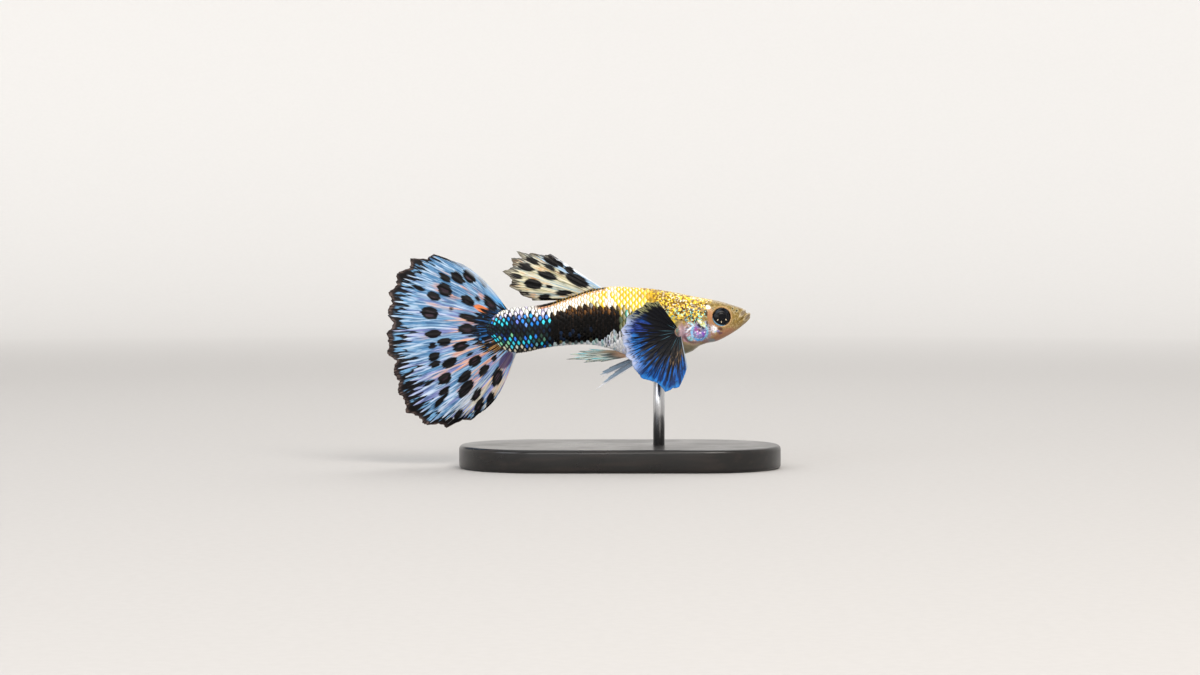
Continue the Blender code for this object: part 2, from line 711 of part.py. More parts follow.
make_head()
trunk = body_length("trunk", HEAD_END + GAP, TRUNK_END, 16, PARTS, "flank_skin")
keep_largest(trunk)
stalk = body_length("tail_stalk", TRUNK_END + GAP, STALK_END, 10, PARTS, "stalk_skin")
keep_largest(stalk)
BODY_ROOM = body_length("body_room", 0, STALK_END + GAP, 36, CUTTERS, grow=GAP)
make_tail_fin()
make_dorsal_fin()
make_anal_fin()
for side, word in ((1, "left"), (-1, "right")):
    make_pectoral_fin(side, word)
make_pelvic_fin(PELVIC_LEFT_TIPS, 1, "left")
make_pelvic_fin(PELVIC_RIGHT_TIPS, -1, "right")
make_stand()
print("guppy:", len(PARTS.objects), "pieces")
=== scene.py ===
# %% [markdown]
# # A male fancy guppy on its display stand
#
# A still museum model of a small aquarium fish, at life size: 52 mm long, with a steel rod
# and a lacquered base under it. The plain solids of the model are loaded first, as a fixed
# frame, and every piece made below lies where its solid lies. One skin covers the body, and
# over it come the scales, the eyes and seven fins. The tables are in millimetres, because a
# fish of this size is measured that way, and one function turns them into metres.

# %% Load the frame
import functools
import math
import random

import bmesh
import bpy
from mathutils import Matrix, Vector


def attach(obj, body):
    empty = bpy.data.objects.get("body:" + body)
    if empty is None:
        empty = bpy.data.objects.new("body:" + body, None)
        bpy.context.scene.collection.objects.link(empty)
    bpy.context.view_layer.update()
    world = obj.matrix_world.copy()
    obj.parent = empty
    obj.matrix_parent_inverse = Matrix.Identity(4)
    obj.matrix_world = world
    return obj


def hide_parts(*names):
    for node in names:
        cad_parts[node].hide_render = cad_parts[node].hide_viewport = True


MM = 0.001
SNOUT_X, AXIS_HEIGHT = 17.0, 18.7  # where the fish's own frame starts, in mm
SIDES = ((1, "left"), (-1, "right"))
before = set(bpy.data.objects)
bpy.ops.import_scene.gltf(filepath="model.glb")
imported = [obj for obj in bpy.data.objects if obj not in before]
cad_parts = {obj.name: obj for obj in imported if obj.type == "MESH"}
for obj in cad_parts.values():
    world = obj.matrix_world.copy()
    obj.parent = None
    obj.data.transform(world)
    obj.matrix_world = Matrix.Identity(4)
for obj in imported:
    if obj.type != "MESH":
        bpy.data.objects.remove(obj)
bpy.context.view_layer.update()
print("The frame holds", len(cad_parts), "solids")


# %% [markdown]
# ## Helpers for numbers, tables and materials
#
# Most forms of a fish swell and fade without an edge. A smooth step does that for a number,
# and two of them back to back make a swelling. Long tables are written as plain text and
# read by one function. A material is a tree of nodes, and one small function adds a node
# with its options and links. Colours are written as sRGB hex values, as a paint chart gives
# them, and turned into the linear numbers that light needs.

# %% Smooth steps, tables, colours and nodes
def ease(low, high, at):
    """Runs smoothly from 0 at low to 1 at high. low may be the larger one."""
    t = max(0.0, min(1.0, (at - low) / (high - low)))
    return t * t * (3 - 2 * t)


def swell(middle, width, at):
    """A smooth swelling: 1 in the middle, and 0 from width away."""
    return ease(width, 0, abs(at - middle))


def along(values, share):
    """Reads a short list of numbers at a share of its length, 0 to 1."""
    place = max(0.0, min(1.0, share)) * (len(values) - 1)
    i = min(int(place), len(values) - 2)
    return values[i] + (values[i + 1] - values[i]) * (place - i)


def chart(text):
    """Reads a table. A row ends with its line or at a comma, its numbers become numbers, and
    what follows a semicolon is a note."""
    rows = ",".join(line.split(";")[0] for line in text.splitlines()).split(",")
    rows = [row.split() for row in rows if row.strip()]
    return [[float(word) if word[0] in "-0123456789" else word for word in row] for row in rows]


def linear(paint):
    """Turns an sRGB hex colour into linear red, green, blue and alpha."""
    parts = [int(paint[k : k + 2], 16) / 255 for k in (1, 3, 5)]
    return (*[c / 12.92 if c <= 0.04045 else ((c + 0.055) / 1.055) ** 2.4 for c in parts], 1)


def plain(value):
    """A constant as a socket takes it, with a hex colour made linear."""
    return linear(value) if isinstance(value, str) else value


def add(tree, kind, settings=None, links=None):
    """Adds a node. settings are its options, and links are its sockets: each gets another
    node's output, a number, a vector or a hex colour."""
    node = tree.nodes.new("ShaderNode" + kind)
    for name, value in (settings or {}).items():
        setattr(node, name, value)
    for socket, value in (links or {}).items():
        if isinstance(value, bpy.types.NodeSocket):
            tree.links.new(value, node.inputs[socket])
        else:
            node.inputs[socket].default_value = plain(value)
    return node


def new_finish(name, sockets):
    """Starts a material. Each named socket of its shader gets a constant of its own."""
    material = bpy.data.materials.new(name)
    material.use_nodes = True
    shader = material.node_tree.nodes["Principled BSDF"]
    for socket, value in sockets.items():
        shader.inputs[socket].default_value = plain(value)
    return material, material.node_tree


def feed(tree, socket, value):
    """Links a value to a socket of the material's shader."""
    tree.links.new(value, tree.nodes["Principled BSDF"].inputs[socket])


print("Pure white is", linear("#ffffff"), "and middle grey is", round(linear("#808080")[0], 3))


# %% Short names for nodes that come often
def calc(tree, operation, *values):
    """One step of arithmetic."""
    return add(tree, "Math", {"operation": operation}, dict(enumerate(values))).outputs[0]


def split(tree, vector):
    """The three numbers of a vector."""
    return add(tree, "SeparateXYZ", {}, {0: vector}).outputs


def noise(tree, place, scale, detail):
    """Cloudy noise round 0.5, with about so many clouds to one unit of the place."""
    links = {"Vector": place, "Scale": scale, "Detail": detail}
    return add(tree, "TexNoise", {}, links).outputs["Fac"]


def stretched(tree, place, scale, move=(0, 0, 0)):
    """A place with each axis stretched by a number of its own, and then moved."""
    links = {"Vector": place, "Scale": scale, "Location": move}
    return add(tree, "Mapping", {}, links).outputs[0]


def own_place(tree):
    """A point's place in metres. Every object stands at the origin."""
    return add(tree, "TexCoord").outputs["Object"]


def stored(tree, name, kind="Fac"):
    """A value that is kept on the mesh."""
    return add(tree, "Attribute", {"attribute_name": name}).outputs[kind]


def bump(tree, height, strength, depth):
    """Tilts the surface as a relief of a depth in mm would."""
    links = {"Strength": strength, "Distance": depth * MM, "Height": height}
    feed(tree, "Normal", add(tree, "Bump", {}, links).outputs[0])


# %% [markdown]
# ## Painting with masks
#
# A fish is not painted with a brush, but it helps to think so: a ground colour, then one
# thin coat after another, each only where it belongs. A glaze lays a colour over another
# wherever all its conditions hold, and every condition is a value that fades in between two
# limits. A chart lists such glazes, one to a line. A blotch is a soft ellipse, set by its
# place on the fish, and a line drawn along the body tells how far a place lies above it.
# Images would be the other way to do this, but masks stay sharp at any size.

# %% Glazes and charts of them
def glaze(tree, under, colour, where, strength=1.0):
    """Lays a colour over another where every (value, start, stop) in where has set in."""
    mask = strength
    for value, start, stop in where:
        step = {"Value": value, "From Min": start, "From Max": stop, "To Max": mask}
        node = add(tree, "MapRange", {"interpolation_type": "SMOOTHSTEP"}, step)
        mask = node.outputs[0]
    return add(tree, "Mix", {"data_type": "RGBA"}, {0: mask, 6: under, 7: colour}).outputs[2]


def coats(tree, colour, at, text):
    """Lays glazes one after another. A row of their chart is a colour, its strength, and its
    conditions: a value and two limits each. at holds the values, and ready paints, by name."""
    for paint, strength, *steps in chart(text):
        where = [(at[key], *steps[k + 1 : k + 3]) for k, key in enumerate(steps) if k % 3 == 0]
        colour = glaze(tree, colour, at.get(paint, paint), where, strength)
    return colour


def mix_paints(tree, at, charts):
    """Makes paints and keeps each under its name. A chart's first row is its ground."""
    for name, text in charts.items():
        ground, rest = text.strip().split("\n", 1)
        at[name] = coats(tree, at.get(ground, ground), at, rest)


print("A row of a chart reads as", chart("#b8a270 0.75 fine 0.48 0.60")[0])


# %% Blotches, flecks and lines
# A curve node runs from 0 to 1 both ways. Here that is 35 mm of body, and from 6 mm under
# the fish's axis to 6 mm over it.
LINE_LONG, LINE_TALL, LINE_SUNK = 35, 12, 6


def blotch(tree, place, s, z, long, high, turn=0.0):
    """How far a place is from the middle of an ellipse on the fish's side: 0 in the middle
    and 1 on its edge. It shows on both sides alike, because y is squeezed flat."""
    spot = {"Location": (s, 0, z), "Rotation": (0, math.radians(turn), 0)}
    spot |= {"Vector": place, "Scale": (long, 1000, high)}
    near = add(tree, "Mapping", {"vector_type": "TEXTURE"}, spot).outputs[0]
    return add(tree, "VectorMath", {"operation": "LENGTH"}, {0: near}).outputs["Value"]


def shifted(tree, value, by, amount):
    """A value moved by a noise, so that a border drawn with it is torn as the noise runs."""
    return calc(tree, "SUBTRACT", calc(tree, "MULTIPLY_ADD", by, amount, value), amount / 2)


def flecks(tree, place, size):
    """Three chances from 0 to 1 for each of many small soft flecks of a size in mm."""
    cells = {"Vector": place, "Scale": 1 / size, "Smoothness": 1.0}
    colour = add(tree, "TexVoronoi", {"feature": "SMOOTH_F1"}, cells).outputs["Color"]
    return dict(zip(("first", "second", "third"), split(tree, colour)))


def over_line(tree, s, z, text):
    """How far z is above a line that is drawn along the body through points s z. The first
    two are its ends."""
    line = add(tree, "FloatCurve", {}, {"Value": calc(tree, "MULTIPLY", s, 1 / LINE_LONG)})
    curve = line.mapping.curves[0]
    for k, (at, height) in enumerate(chart(text)):
        spot = (at / LINE_LONG, (height + LINE_SUNK) / LINE_TALL)
        if k < 2:
            curve.points[k].location = spot
        else:
            curve.points.new(*spot)
    line.mapping.update()
    return calc(tree, "ADD", z, calc(tree, "MULTIPLY_ADD", line.outputs[0], -LINE_TALL, LINE_SUNK))


def on_fish(tree, place):
    """Turns a point in metres into s, y and z of the fish, in mm."""
    return stretched(tree, place, (-1000, 1000, 1000), (SNOUT_X, 0, -AXIS_HEIGHT))


print("A line along the body can be", LINE_LONG, "mm long")


# %% [markdown]
# ## The studio
#
# A museum shows such a model on a pale sweep of card, under large soft lamps, so that
# nothing but the model has an edge. The sweep is a round dish here, level under the model and
# bent up all round it, so that every side of the model has the same plain ground. It is a
# line of three points whose corner is rounded by a bevel, and then spun about the upright
# axis. A long lens from half a metre away keeps the fish free of perspective.

# %% The floor sweep
def new_object(name, data):
    """Puts a new object in the scene."""
    obj = bpy.data.objects.new(name, data)
    bpy.context.scene.collection.objects.link(obj)
    return obj


def new_surface(name, bm, finish):
    """Puts a finished mesh in the scene, smooth and with its finish."""
    mesh = bpy.data.meshes.new(name)
    bm.to_mesh(mesh)
    bm.free()
    mesh.shade_smooth()
    mesh.materials.append(finish)
    return new_object(name, mesh)


card, tree = new_finish("matt_card", {"Roughness": 0.85, "Emission Color": "#fbf9f6"})
place = own_place(tree)
fibre = {"fibre": noise(tree, place, 900.0, 4.0)}  # 1.1 mm fibres, pressed nearly flat
feed(tree, "Base Color", coats(tree, "#b9b7b5", fibre, "#bbb9b7 1 fibre 0.35 0.65"))
# Further out it glows, as the cloth of a light tent does with lamps behind it.
reach = add(tree, "VectorMath", {"operation": "LENGTH"}, {0: place}).outputs["Value"]
glow = {"Value": reach, "From Min": 0.25, "From Max": 0.80, "To Max": 0.52}
glow = add(tree, "MapRange", {"interpolation_type": "SMOOTHSTEP"}, glow)
feed(tree, "Emission Strength", glow.outputs[0])

bm = bmesh.new()
corners = [bm.verts.new((x, 0, z)) for x, z in ((0.0, 0.0), (0.85, 0.0), (0.85, 1.2))]
for pair in zip(corners, corners[1:]):
    bm.edges.new(pair)
form = {"segments": 16, "profile": 0.5, "affect": "VERTICES", "material": -1}
bmesh.ops.bevel(bm, geom=[corners[1]], offset=0.34, **form)
turn = {"cent": (0, 0, 0), "axis": (0, 0, 1), "angle": math.tau, "steps": 96, "use_merge": True}
bmesh.ops.spin(bm, geom=bm.verts[:] + bm.edges[:], **turn)
bmesh.ops.remove_doubles(bm, verts=bm.verts, dist=1e-5)
bmesh.ops.recalc_face_normals(bm, faces=bm.faces)
sweep = new_surface("studio_sweep", bm, card)
print("The sweep has", len(sweep.data.polygons), "faces")


# %% The lamps and the camera
MIDDLE = Vector((-2.6, 0, 17.0)) * MM  # what the middle of the picture shows
FRAME_WIDTH = 156.7 * MM  # how wide the picture is there
CAMERA_HEIGHT = math.radians(2.0)


def softbox(name, place, size, watts, colour="#ffffff"):
    """A square area lamp that faces the fish."""
    lamp = bpy.data.lights.new(name, "AREA")
    lamp.size = size
    lamp.energy = watts
    lamp.color = linear(colour)[:3]
    obj = new_object(name, lamp)
    obj.location = place
    obj.rotation_euler = (MIDDLE - Vector(place)).to_track_quat("-Z", "Y").to_euler()
    obj.visible_camera = False


softbox("key_lamp", (0.17, -0.38, 0.39), 0.26, 1.8, "#fff8f0")
softbox("fill_lamp", (-0.40, -0.34, 0.27), 0.30, 0.75, "#f0f5ff")
softbox("low_lamp", (-0.08, -0.54, 0.19), 0.20, 0.45)
softbox("top_lamp", (-0.05, 0.10, 0.55), 0.45, 1.1)
softbox("rim_lamp", (0.12, 0.38, 0.42), 0.30, 0.6)

world = bpy.data.worlds.new("pale_room")
world.use_nodes = True
world.node_tree.nodes["Background"].inputs["Color"].default_value = linear("#e8eaee")
world.node_tree.nodes["Background"].inputs["Strength"].default_value = 0.06
bpy.context.scene.world = world
bpy.context.scene.view_settings.view_transform = "Standard"

lens = bpy.data.cameras.new("camera")
lens.lens = 100
lens.sensor_width = 36
lens.clip_start, lens.clip_end = 0.01, 10
camera = new_object("camera", lens)
away = Vector((0, -math.cos(CAMERA_HEIGHT), math.sin(CAMERA_HEIGHT)))
camera.location = MIDDLE + away * (FRAME_WIDTH * lens.lens / lens.sensor_width)
camera.rotation_euler = (-away).to_track_quat("-Z", "Y").to_euler()
bpy.context.scene.camera = camera
print("The camera stands", round((camera.location - MIDDLE).length * 1000), "mm away")


# %% [markdown]
# ## The form of the body
#
# A guppy's body is a tube that is deepest at the belly, flat-sided towards the tail and
# pointed at the mouth. The table gives its section at fifteen places, and everything on the
# body, its skin, its scales and the roots of its fins, is set by the same functions. The
# fish has a frame of its own: s runs back from the snout, y to its left, and z up from its
# long axis.

# %% The body's sections
STANDARD_LENGTH, STALK_END, FLESH_END = 32.0, 31.4, 34.3
WIDEST_AT, STALK_LEAN = 0.52, 0.21  # a share of the depth, and a slope of the rear sections
SWING_FROM, SWING = 13.0, 0.8
BODY = chart("""; s, back, belly, half width, how square above, how square below
    0.00 1.36 0.86 0.46 2.2 2.2
    0.50 1.90 0.28 0.98 2.5 2.3
    2.00 2.44 -0.90 1.50 2.6 2.2
    4.20 3.08 -2.10 2.02 2.5 2.1
    6.40 3.50 -2.68 2.42 2.4 2.0
    7.60 3.72 -3.50 2.56 2.3 1.9
    9.60 4.08 -4.10 2.64 2.2 1.9
    12.8 4.56 -4.36 2.62 2.1 1.9
    15.4 4.76 -4.16 2.44 2.1 1.9
    18.0 4.86 -3.20 2.16 2.0 1.9
    20.6 4.52 -2.62 1.92 2.0 1.9
    23.2 3.70 -2.62 1.72 2.0 2.0
    27.0 2.52 -3.02 1.42 2.0 2.0
    30.0 2.12 -3.58 1.06 2.0 2.0
    32.5 1.86 -3.84 0.66 2.2 2.2
""")


def body_value(s, column):
    """Reads a column of BODY at s, on a smooth curve through its rows."""
    at = max(BODY[0][0], min(BODY[-1][0], s))
    i = min(sum(row[0] <= at for row in BODY) - 1, len(BODY) - 2)

    def slope(k):
        low, high = max(k - 1, 0), min(k + 1, len(BODY) - 1)
        return (BODY[high][column] - BODY[low][column]) / (BODY[high][0] - BODY[low][0])

    (start, a), (stop, b) = ((BODY[k][0], BODY[k][column]) for k in (i, i + 1))
    span = stop - start
    t = (at - start) / span
    return (
        a * (2 * t**3 - 3 * t**2 + 1)
        + b * (3 * t**2 - 2 * t**3)
        + slope(i) * span * (t**3 - 2 * t**2 + t)
        + slope(i + 1) * span * (t**3 - t**2)
    )


@functools.lru_cache(maxsize=None)
def section(s):
    """The section at s. Past the stalk's end its flesh thins out to a tongue in the fin."""
    back, belly, half, above, below = (body_value(s, k) for k in range(1, 6))
    widest = belly + WIDEST_AT * (back - belly)
    thin = ease(30.4, FLESH_END + 0.6, s)
    tongue = math.sqrt(1 - 0.93 * ease(30.9, FLESH_END + 0.2, s) ** 1.5)
    back, belly = widest + (back - widest) * tongue, widest + (belly - widest) * tongue
    return half * (1 - 0.85 * thin), back, belly, widest, above, below


def body_point(s, angle, grow=0.0):
    """A point on the smooth body. angle is 0 on the left side and 90 degrees on the back,
    and grow moves the point outwards."""
    half, back, belly, widest, above, below = section(s)
    across, up = math.cos(angle), math.sin(angle)
    power = 2 / (above if up > 0 else below)
    reach = (back - widest if up > 0 else widest - belly) + grow
    y = math.copysign((half + grow) * abs(across) ** power, across)
    z = widest + math.copysign(reach * abs(up) ** power, up)
    return s + STALK_LEAN * ease(25, STALK_END, s) * (z - widest), y, z


def half_width_at(s, z):
    """Half the body's width at s, at the height z."""
    half, back, belly, widest, above, below = section(s)
    power = above if z > widest else below
    share = abs(z - widest) / (back - widest if z > widest else widest - belly)
    return half * max(0.0, 1 - share**power) ** (1 / power)


def swing(s):
    """How far the tail has swung to the fish's left at s: on a bow, and then straight on."""
    share = max(0.0, s - SWING_FROM) / (STANDARD_LENGTH - SWING_FROM)
    return SWING * (share**2 if share < 1 else 2 * share - 1)


def fish(s, y, z):
    """The point in metres for a place on the fish."""
    return Vector((SNOUT_X - s, y + swing(s), AXIS_HEIGHT + z)) * MM


deepest = max(BODY, key=lambda row: row[1] - row[2])
print("The body is deepest", deepest[0], "mm behind the snout")


# %% [markdown]
# ## The relief of the head
#
# The head is where the eye rests, so its small forms are modelled, not painted: the jaw that
# juts forward, its two lips with the cleft between them, two nostrils a side, the rim round
# the eye, the gill cover with its free edge, folds in the throat, and the fleshy stump that
# carries the pectoral fin. Each is one term in a height that the skin is moved by, which is
# how a sculptor adds and cuts clay. Cutting them with Booleans would leave hard seams.

# %% Heights of the head's forms
EYE_S, EYE_Z, EYE_Y = 3.78, 1.05, 1.34
EYE_RADIUS, EYE_DEPTH = 1.26, 0.84  # the socket's wall hides all past 1.17
MOUTH_S, MOUTH_Z, MOUTH_SLOPE = 0.39, 1.50, math.radians(47)
NOSTRILS = ((1.80, 1.84, 0.15), (2.32, 2.10, 0.12))
GILL_S, GILL_Z, GILL_SIZE = 6.95, -0.52, 1.78
PECTORAL_S, PECTORAL_Z = 9.25, -0.78


def from_mouth(s, z):
    """How far along the mouth's line a place is, and how far above that line."""
    back, up = s - MOUTH_S, z - MOUTH_Z
    line, height = math.cos(MOUTH_SLOPE), math.sin(MOUTH_SLOPE)
    return back * line - up * height, back * height + up * line


def lips(s, z):
    """The cleft of the mouth, the lips and the crease behind each of them."""
    m, d = from_mouth(s, z)
    cleft = -0.26 * math.exp(-((d / 0.07) ** 2)) * ease(1.9, 1.0, m)
    pads = 0.085 * swell(0.27, 0.24, abs(d)) - 0.05 * swell(0.60, 0.14, abs(d))
    return cleft + pads * ease(1.7, 0.8, m)


def orbit(s, z):
    """The socket that the eye sits in, and the soft rim round it."""
    r = math.hypot(s - EYE_S, z - EYE_Z)
    return -0.40 * ease(1.24, 1.13, r) + 0.035 * swell(1.35, 0.16, r)


def gill_cover(s, z):
    """The gill cover: a plate with a free rear edge, over a groove."""
    back = s - GILL_S
    up = z - GILL_Z + 0.18 * back
    r = math.hypot(back, up) / GILL_SIZE
    rear = ease(-0.6, 0.8, back)
    plate = 0.15 * ease(1.0, 0.92 - 0.1 * (1 - rear), r)
    groove = -(0.06 + 0.14 * rear) * swell(1.07, 0.09, r)
    ridge = 0.05 * swell(0.62, 0.10, r) * ease(0.4, -0.6, back)
    return plate + groove + ridge


def stump(s, z):
    """The fleshy stump of the pectoral fin."""
    r = math.hypot((s - PECTORAL_S - 0.1) / 0.98, (z - PECTORAL_Z) / 1.22)
    return 1.16 * ease(1.0, 0.30, r)


def relief(s, z):
    """How far the skin stands out from the smooth body, in mm."""
    out = gill_cover(s, z) + stump(s, z) if s > 4.5 else 0.0
    if s < 3.4:
        out += lips(s, z)
        for at, height, size in NOSTRILS:
            r = math.hypot(s - at, z - height)
            out += 0.025 * swell(size * 1.5, size * 0.7, r) - 0.20 * ease(size * 1.0, 0, r)
    if 2.0 < s < 5.6:
        out += orbit(s, z)
    if 2.6 < s < 7.4:  # cheek, and the folds of skin under the gill cover
        out += 0.05 * swell(0, 1.1, math.hypot(s - 4.75, z + 1.0))
        fold = math.sin((z + 0.42 * s) * 11.0)
        out += 0.035 * fold * ease(-1.9, -2.4, z) * swell(5.6, 1.8, s)
    return out


print("The gill cover stands", gill_cover(GILL_S, GILL_Z), "mm proud")


# %% [markdown]
# ## The skin
#
# On a living fish one skin runs from the lips to the root of the tail, and so it does here.
# It starts as a ball with many rings. Each ring is slid to its station along the body and
# shaped to the section there, so the ball's two poles close the snout and the tail. Stations
# stand closest at the mouth, where the forms are smallest. Then the relief moves each point
# along its normal. A subdivided cage would be lighter, but it couldn't hold a nostril of a
# third of a millimetre.

# %% Stations along the body
AROUND = 144
RELIEF_END = 11.5  # the head's forms end before this
MAP_LOW, MAP_ROUND, MAP_ALONG = 0.02, 0.94, 0.96  # where the skin lies on its map
stations = [0.0]
while stations[-1] < FLESH_END:
    at = stations[-1]
    stations.append(at + 0.042 + 0.016 * ease(2.4, 3.2, at) + 0.075 * ease(9.4, RELIEF_END, at))
stations = [at * FLESH_END / stations[-1] for at in stations]


def unwrap(s, angle):
    """A place on the skin, opened out flat: round the body, and along its stations."""
    k = min(sum(at <= s for at in stations[::8]) * 8, len(stations) - 1)
    turn = (angle / math.tau) % 1.0
    return MAP_LOW + MAP_ROUND * turn, MAP_LOW + MAP_ALONG * k / (len(stations) - 1)


print("The skin has", len(stations), "rings of", AROUND, "points")


# %% Shape the skin
def make_skin():
    """Makes the skin's mesh: rings slid along the body, then the relief."""
    bm = bmesh.new()
    rows = len(stations) + 1
    bmesh.ops.create_uvsphere(bm, u_segments=AROUND, v_segments=rows, radius=1)
    home = {}
    for vert in bm.verts:
        row = round(math.acos(max(-1.0, min(1.0, vert.co.z))) / math.pi * rows)
        s = stations[max(0, min(len(stations) - 1, row - 1))]
        angle = math.atan2(vert.co.y, vert.co.x)
        place = (s, 0.0, section(s)[3]) if row in (0, rows) else body_point(s, angle)
        home[vert] = (row, angle, place)
        s, y, z = place
        above_mouth = from_mouth(s, z)[1]
        if s < 3 and above_mouth > 0:  # the upper jaw ends behind the lower one
            s += 0.30 * math.exp(-max(0.0, s - 0.27) / 0.5) * ease(0, 0.07, above_mouth)
        vert.co = fish(s, y, z)
    open_flat(bm, home, rows)
    bm.normal_update()
    near = [vert for vert in bm.verts if home[vert][2][0] < RELIEF_END]
    moves = [vert.normal * (relief(*home[vert][2][::2]) * MM) for vert in near]  # s and z
    for vert, move in zip(near, moves):
        vert.co += move
    axes = {"use_axis_x": True, "use_axis_y": True, "use_axis_z": True}
    bmesh.ops.smooth_vert(bm, verts=near, factor=0.35, **axes)
    bmesh.ops.recalc_face_normals(bm, faces=bm.faces)
    return bm


def open_flat(bm, home, rows):
    """Gives the skin its map, opened along the belly's left side."""
    layer = bm.loops.layers.uv.new("OFBake")
    for face in bm.faces:
        turns = [(home[loop.vert][1] / math.tau) % 1.0 for loop in face.loops]
        poles = [home[loop.vert][0] in (0, rows) for loop in face.loops]
        fixed = [turn for turn, pole in zip(turns, poles) if not pole]
        wraps = max(fixed) - min(fixed) > 0.5
        for loop, turn, pole in zip(face.loops, turns, poles):
            turn += 1 if wraps and turn < 0.5 else 0
            if pole:
                turn = sum(t + (1 if wraps and t < 0.5 else 0) for t in fixed) / len(fixed)
            share = home[loop.vert][0] / rows
            loop[layer].uv = (MAP_LOW + MAP_ROUND * turn, MAP_LOW + MAP_ALONG * share)


def settle(name, bm, finish, nodes=()):
    """Puts a finished mesh in the scene. It rides on the model's one body, and stands for the
    solids that it replaces."""
    obj = new_surface(name, bm, finish)
    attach(obj, "root")
    if nodes:
        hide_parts(*nodes)
    return obj


skin_mesh = make_skin()
print("The skin has", len(skin_mesh.faces), "faces")


# %% [markdown]
# ## The markings
#
# This is a leopard guppy: a yellow-gold back that turns silver white towards the tail, a
# black-brown saddle, a stalk in metallic cyan and lilac, a tan snout, and a gill cover that
# shines blue, pink and yellow. The colour sits in the skin, and the scales over it show the
# same colours, one colour to a scale. So one function paints both: it gets a place on the
# fish and gives back the colour there, the darker colour of a scale's rim, and how metallic
# it looks. A little noise moves every border, because no border on a fish is straight.

# %% Lines along the body, and blotches on the head
GOLD_EDGE = """0 1.3, 35 0.9, 4 1.8, 6 2.2, 8.5 1.35, 11 1.3, 14 1.7, 16.5 2.15, 18.3 2.5,
    21 2.75, 22.7 2.5, 24.5 2.0, 26 1.45, 28 1.3"""
BELLY_EDGE = """0 -0.3, 35 -4.0, 4 -2.2, 7 -2.9, 9 -3.2, 13 -2.4, 15.5 -1.0, 17 -0.9,
    18.7 -1.9, 22 -2.2, 25.6 -2.35, 28 -2.7, 31 -3.4"""
BACK_EDGE = "0 1.4, 35 1.9, 18 4.86, 20.6 4.52, 23.2 3.70, 27 2.52, 30 2.12"
MOSAIC_EDGE = """0 3.8, 35 1.0, 4.4 3.3, 5.2 2.85, 5.9 2.6, 6.2 1.0, 6.6 0.75, 7.6 0.35,
    8.6 0.6, 10 0.8"""
# The three small pale pink blotches on the gill plate, at 6.57, 6.02 and 6.95 mm, are painted
# highlights.
HEAD_MARKS = chart("""; s, z, half length, half height, turn, colour, strength
    3.6 -1.35 1.7 0.62 28 #a06a50 0.75 ; pink-orange lower cheek
    5.2 -2.15 1.5 0.42 -10 #8f7076 0.75
    5.3 1.2 0.38 1.0 6 #b27a50 0.85 ; orange behind the eye
    4.9 -0.1 0.9 0.45 -25 #a87652 0.7
    5.4 -0.45 0.17 0.50 4 #120d0c 0.85
    5.1 -1.12 0.42 0.24 10 #a06a2c 0.85
    5.12 -2.02 0.50 0.26 0 #7f989e 0.70
    4.80 -0.56 0.42 0.50 10 #fbfdff 1.0 ; white spot under the eye
    4.62 -0.86 0.16 0.12 0 #9fd4e0 0.9
    4.22 -0.82 0.24 0.16 0 #9088c0 0.9
    3.90 -0.50 0.38 0.24 -20 #4e2218 0.85
    3.98 -1.02 0.34 0.20 0 #54304a 0.75
    7.2 -1.0 2.3 1.35 4 #b49298 0.85 ; pinkish ground of the gill area
    6.66 -0.84 1.08 1.12 0 #7c74b6 0.90 ; violet ground of the plate
    8.05 -1.70 0.85 0.62 -10 #bb8f9a 0.8
    7.87 -1.77 0.44 0.32 -20 #9adbe2 0.95
    8.60 -1.30 0.34 0.40 0 #c98fa4 0.8
    6.55 -0.15 0.62 0.22 -40 #140f0a 0.9
    6.38 0.24 0.78 0.26 -42 #f0ee84 1.0 ; the plate's yellow patch
    6.62 0.44 0.30 0.16 -42 #fffde6 1.0
    6.05 -0.10 0.26 0.13 -42 #e9fbd8 1.0
    5.78 0.28 0.16 0.46 12 #2c1a30 0.85
    6.68 -0.60 0.34 0.20 -8 #8c1230 0.95 ; dark red
    7.18 -0.55 0.22 0.22 0 #a83a98 0.9
    6.20 -1.20 0.42 0.30 -20 #8a4ec8 0.9
    6.86 -1.12 0.22 0.16 0 #c98ae0 0.95
    6.57 -1.02 0.15 0.11 0 #fff0ff 1.0
    6.02 -0.92 0.12 0.10 0 #f4d8ff 1.0
    6.95 -0.84 0.12 0.09 0 #ffd8f0 1.0
    8.38 -0.52 0.34 0.20 30 #0d1648 0.95 ; navy, inside a white stroke
    7.72 0.12 0.42 0.12 -26 #bfe4fb 1.0
    7.84 -0.40 0.60 0.12 38 #f2f8ff 1.0
    8.34 -0.86 0.24 0.12 10 #f6eef6 0.9
    8.34 0.76 0.26 0.20 0 #52b4ea 0.9
    7.36 0.62 0.32 0.22 20 #9a4a18 0.9
    5.85 1.55 0.24 0.42 0 #1d130b 0.85
    5.60 2.33 0.36 0.26 -20 #fff8e4 1.0 ; white behind the eye
    6.02 2.28 0.20 0.24 0 #f2b62a 0.95
    9.20 -0.85 0.85 0.95 0 #a88c98 0.75 ; round the root of the pectoral fin
    9.62 -0.92 0.34 0.62 0 #24364e 0.75
""")
print(len(HEAD_MARKS), "blotches on each side of the head")
